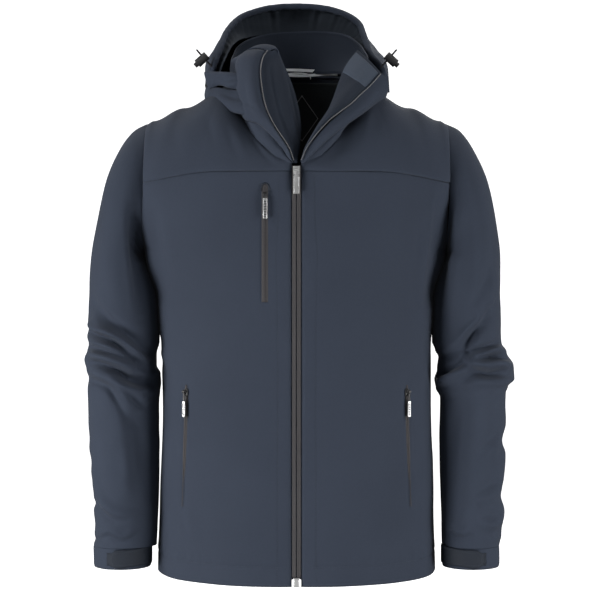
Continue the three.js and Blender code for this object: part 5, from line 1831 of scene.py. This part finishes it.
@dataclass
class PocketZips:
    """The chest zip and the two hand pocket zips."""

    outline: Outline
    stitches: Repeat

    def build(self) -> None:
        """Makes the three zips."""
        for name in ("chest", "right_hand", "left_hand"):
            self.one(name)

    def one(self, name: str) -> None:
        """Makes one zip: its tape, coil, slider and puller.

        Args:
            name: The pocket's name in the frame.
        """
        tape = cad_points(name + "_zip_tape")
        top = tape[tape[:, 2] > tape[:, 2].max() - 0.3].mean(axis=0)
        foot = tape[tape[:, 2] < tape[:, 2].min() + 0.3].mean(axis=0)
        up = (top - foot) / np.linalg.norm(top - foot)
        ring = tape[np.abs((tape - top) @ up) < 1.0]
        across = ring[ring[:, 0].argmax()] - ring[ring[:, 0].argmin()]
        across -= up * (across @ up)
        across = np.array([across[0], across[1], 0]) / np.linalg.norm(across[:2])
        outward = np.cross(across, up)
        outward = outward if outward[1] < 0 else -outward
        width = 5.3 if name == "chest" else 3.4
        u = np.linspace(-width, width, 9)[None, :, None]
        t = np.linspace(0, 1, 90)[:, None, None]
        sunk = 0.55 if name == "chest" else -0.5
        crown = 0.5 * np.exp(-((np.abs(u) - 1.5) ** 2) / 0.9)
        grid = foot + (top - foot) * t + across * u + outward * (sunk + crown)
        piece = cloth(name + "_zip_cloth", grid, tuple(outward), 1.0)
        settle(piece, ZIP_CLOTH, "root", name + "_zip_tape")
        middle = foot + (top - foot) * t[:, 0]
        lines = [(middle + across * x + outward * (sunk + 0.45)) for x in (-1.15, 1.15)]
        coil = self.stitches.lay(name + "_zip_coil", lines, ZIP_CLOTH, 1.3, 0.85, 1.9, 0.7)
        settle(coil, ZIP_CLOTH, "root")
        if name == "chest":
            self.garage(top, across, up, outward)
        self.slider(name, across)

    def garage(self, top: np.ndarray, across: np.ndarray, up: np.ndarray, outward: np.ndarray) -> None:
        """The little cloth arch that the chest zip's slider parks under.

        Args:
            top: The zip's upper end.
            across: Direction across the zip.
            up: Direction along the zip.
            outward: Direction off the cloth.
        """
        turn = np.linspace(-0.08 * math.pi, 1.08 * math.pi, 40)[:, None]
        tube = np.linspace(0, 2 * math.pi, 10, endpoint=False)[None, :, None]
        reach = (across * np.cos(turn) * 6.0 + up * np.sin(turn) * 9.0)[:, None]
        radial = reach / np.linalg.norm(reach, axis=-1, keepdims=True)
        ring = top - up * 8.0 + reach + (radial * np.cos(tube) + outward * np.sin(tube)) * 0.8 + outward * 0.5
        piece = cloth("chest_zip_garage", ring, tuple(radial[20, 0]), 0.4, ring=True)
        settle(piece, TAB, "root")

    def small_slider(self, name: str, axes: np.ndarray) -> bpy.types.Object:
        """A pocket slider: a plate, two ears and the pin that the puller turns on.

        Args:
            name: The pocket's name in the frame.
            axes: Columns are the directions across the zip, into the body and up.

        Returns:
            The slider, in those axes.
        """
        low, high = self.space(name + "_zip_slider", axes)
        first, last = self.space(name + "_zip_puller", axes)
        radius = (last[1] - first[1]) / 2
        x, y, z = (first[0] + last[0]) / 2, first[1] + radius, last[2] - radius
        parts = [rounded_box(name + "_slider_body", (low[0], high[1] - 2.1, low[2]), high, 0.9)]
        for index, sign in enumerate((-1, 1)):
            xs = sorted((x + sign * 1.75, x + sign * 2.65))
            corners = (xs[0], y - 0.95, z - 1.1), (xs[1], high[1] - 1.2, z + 1.1)
            parts.append(rounded_box(f"{name}_slider_ear{index}", *corners, 0.4))
        corners = (x - 2.3, y - 0.6, z - 0.6), (x + 2.3, y + 0.6, z + 0.6)
        parts.append(rounded_box(name + "_slider_pin", *corners, 0.5))
        return merge(name + "_slider_body", parts)

    def space(self, node: str, axes: np.ndarray) -> tuple[Point, Point]:
        """Lowest and highest corner of a frame node in the given axes, in millimetres."""
        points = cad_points(node) @ axes
        return tuple(points.min(axis=0)), tuple(points.max(axis=0))

    def slider(self, name: str, across: np.ndarray) -> None:
        """The small slider and its puller, turned as the zip is.

        Args:
            name: The pocket's name in the frame.
            across: Level direction across the zip.
        """
        across = across * (1.0 if across[0] > 0 else -1.0)
        up = np.array((0.0, 0.0, 1.0))
        axes = np.stack([across, np.cross(up, across), up], axis=-1)
        low, high = self.space(name + "_zip_puller", axes)
        middle, y = (low[0] + high[0]) / 2, (low[1] + high[1]) / 2
        half = 3.1 if name == "chest" else 2.3
        share = 0.78 if name == "chest" else 0.56
        foot = low[2] + share * (high[2] - low[2])
        radius = (high[1] - low[1]) / 2
        corners = (middle - half, low[1], low[2]), (middle + half, high[1], high[2])
        puller = puller_shape(name + "_puller_grip", *corners, 3.2, share)
        corners = (middle - 1.1, y - 0.9, foot - 1.5), (middle + 1.1, y + 0.9, high[2] - radius * 1.9)
        cord = rounded_box(name + "_puller_cord", *corners, 0.7)
        corners = (middle - half - 0.5, y - 0.6, low[2] - 0.8), (middle + half + 0.5, y + 1.2, foot + 0.6)
        rim = rounded_box(name + "_puller_rim", *corners, 0.5)
        slider = self.small_slider(name, axes)
        turned = Matrix(axes.tolist()).to_4x4()
        for piece in (puller, cord, rim, slider):
            piece.data.transform(turned)
        settle(slider, BLACK, name + "_slider", name + "_zip_slider")
        settle(puller, SILVER, name + "_puller", name + "_zip_puller")
        puller.data.materials.append(BLACK.material())
        for face in puller.data.polygons:
            face.material_index = int(face.center.z / MM > foot + 0.9)
        settle(cord, BLACK, name + "_puller")
        settle(rim, BLACK, name + "_puller")


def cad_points(node: str) -> np.ndarray:
    """Vertices of a frame node, in millimetres."""
    mesh = bpy.data.objects[node].data
    co = np.zeros(len(mesh.vertices) * 3, np.float32)
    mesh.vertices.foreach_get("co", co)
    return co.reshape(-1, 3).astype(float) / MM


# ------------------------------------------------------------------ the stage


@dataclass(frozen=True)
class Lamp:
    """A square softbox that looks at the jacket. Place and size in metres, power in watts."""

    name: str
    place: Point
    aim: Point
    size: float
    power: float

    def hang(self) -> None:
        """Adds the light to the scene."""
        data = bpy.data.lights.new(self.name, "AREA")
        data.shape = "SQUARE"
        data.size = self.size
        data.energy = self.power
        lamp = bpy.data.objects.new(self.name, data)
        lamp.location = self.place
        away = Vector(self.aim) - Vector(self.place)
        lamp.rotation_euler = away.to_track_quat("-Z", "Y").to_euler()
        bpy.context.scene.collection.objects.link(lamp)


@dataclass
class Studio:
    """Camera, curved pale backdrop and soft light."""

    distance: float = 2.8
    lens: float = 113.5
    middle_z: float = -0.344
    floor_z: float = -1.25
    floor_front: float = -12.0
    bend_start: float = 6.5
    bend_radius: float = 1.6
    wall_top: float = 7.0
    half_width: float = 12.0
    ambient: float = 0.075
    lamps: tuple[Lamp, ...] = (
        Lamp("front_softbox", (-0.2, -3.4, 1.0), (0.0, -0.1, -0.3), 1.2, 5.0),
        Lamp("left_softbox", (-2.0, -0.95, 0.75), (-0.2, -0.1, -0.45), 0.8, 36.0),
        Lamp("right_softbox", (2.0, -0.95, 0.75), (0.2, -0.1, -0.45), 0.8, 27.0),
        Lamp("low_left_softbox", (-1.3, -1.0, -0.8), (-0.2, -0.1, -0.62), 0.55, 32.0),
        Lamp("low_right_softbox", (1.3, -1.0, -0.8), (0.2, -0.1, -0.62), 0.55, 23.0),
        Lamp("floor_bounce", (0.0, -1.1, -1.2), (0.0, -0.15, -0.6), 1.6, 4.0),
        Lamp("back_fill", (0.5, 2.0, 0.5), (0.0, 0.0, -0.3), 0.9, 16.0),
        Lamp("backdrop_light", (0.0, 0.9, 2.2), (0.0, 3.6, -0.2), 2.0, 110.0),
    )

    def build(self, outline: Outline) -> None:
        """Sets the stage.

        Args:
            outline: The body's shape, for the camera's distance.
        """
        scene = bpy.context.scene
        scene.view_settings.view_transform = "Standard"
        camera = bpy.data.cameras.new("camera")
        camera.lens = self.lens
        camera.sensor_width = 36.0
        eye = bpy.data.objects.new("camera", camera)
        eye.location = (0.005, outline.mid_y * MM - self.distance, self.middle_z)
        eye.rotation_euler = (math.pi / 2, 0, 0)
        scene.collection.objects.link(eye)
        scene.camera = eye
        self.backdrop()
        world = bpy.data.worlds.new("studio")
        world.use_nodes = True
        world.node_tree.nodes["Background"].inputs["Color"].default_value = (1.0, 1.0, 1.0, 1)
        world.node_tree.nodes["Background"].inputs["Strength"].default_value = self.ambient
        scene.world = world
        for lamp in self.lamps:
            lamp.hang()

    def backdrop(self) -> None:
        """A floor that curves up into a wall behind the jacket."""
        turn = np.linspace(0, math.pi / 2, 25)
        y = np.concatenate([[self.floor_front], self.bend_start + self.bend_radius * np.sin(turn)])
        z = np.concatenate([[0.0], self.bend_radius * (1 - np.cos(turn))]) + self.floor_z
        y = np.append(y, y[-1])
        z = np.append(z, self.wall_top)
        rows = len(y)
        ends = [np.stack([np.full(rows, x), y, z], axis=-1) for x in (-self.half_width, self.half_width)]
        faces = [(i, i + rows, i + rows + 1, i + 1) for i in range(rows - 1)]
        ground = mesh_object("backdrop", np.concatenate(ends), faces)
        pale = bpy.data.materials.new("pale_backdrop")
        pale.use_nodes = True
        shader = pale.node_tree.nodes["Principled BSDF"]
        shader.inputs["Base Color"].default_value = (0.88, 0.88, 0.88, 1)
        shader.inputs["Roughness"].default_value = 0.95
        shader.inputs["Emission Color"].default_value = (1.0, 1.0, 1.0, 1)
        shader.inputs["Emission Strength"].default_value = 1.0
        ground.data.materials.append(pale)
        ground.visible_diffuse = False
        ground.visible_glossy = False


# ------------------------------------------------------------------ carried-over nodes


def declare_cords(nodes: dict[str, bpy.types.Object]) -> None:
    """Args:
        nodes: The frame's nodes by name.
    """
    for side in Side:
        run = np.array((side.value * 0.66, -0.16, 0.73))
        run /= np.linalg.norm(run)
        across = np.array((0.0, 1.0, 0.0)) - run * run[1]
        out = np.cross(across / np.linalg.norm(across), run)
        out = out if out[0] * side.value > 0 else -out
        lock = [nodes[f"{side.label}_cord_lock_{part}"] for part in ("barrel", "plunger")]
        cord = nodes[side.label + "_hood_cord"]


def dress_kept_nodes(nodes: dict[str, bpy.types.Object]) -> None:
    """Gives each frame node that stays in view its finish.

    Args:
        nodes: The frame's nodes by name.
    """
    choices = {}
    for side in Side:
        choices[side.label + "_hood_cord"] = CORD
        choices[side.label + "_cord_lock_barrel"] = BLACK
        choices[side.label + "_cord_lock_plunger"] = BLACK
    for name, finish in choices.items():
        node = nodes[name]
        if not node.hide_render:
            if "cloth" not in node.data.uv_layers:
                node.data.uv_layers.new(name="cloth")
            node.data.materials.clear()
            node.data.materials.append(finish.material())


def main() -> None:
    """Builds the jacket round the frame, piece by piece."""
    logging.basicConfig(level=logging.INFO, format="%(name)s: %(message)s")
    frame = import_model()
    outline = Outline()
    Studio().build(outline)
    declare_cords(frame["nodes"])
    stitches = Repeat("repeat_along_path")
    Body(outline, stitches).build()
    for side in Side:
        Sleeve(outline, side, stitches).build()
    Collar(outline, stitches).build()
    Hood().build()
    NeckTrims(outline).build()
    MainZip(outline, stitches).build()
    PocketZips(outline, stitches).build()
    dress_kept_nodes(frame["nodes"])


if __name__ == "__main__":
    main()
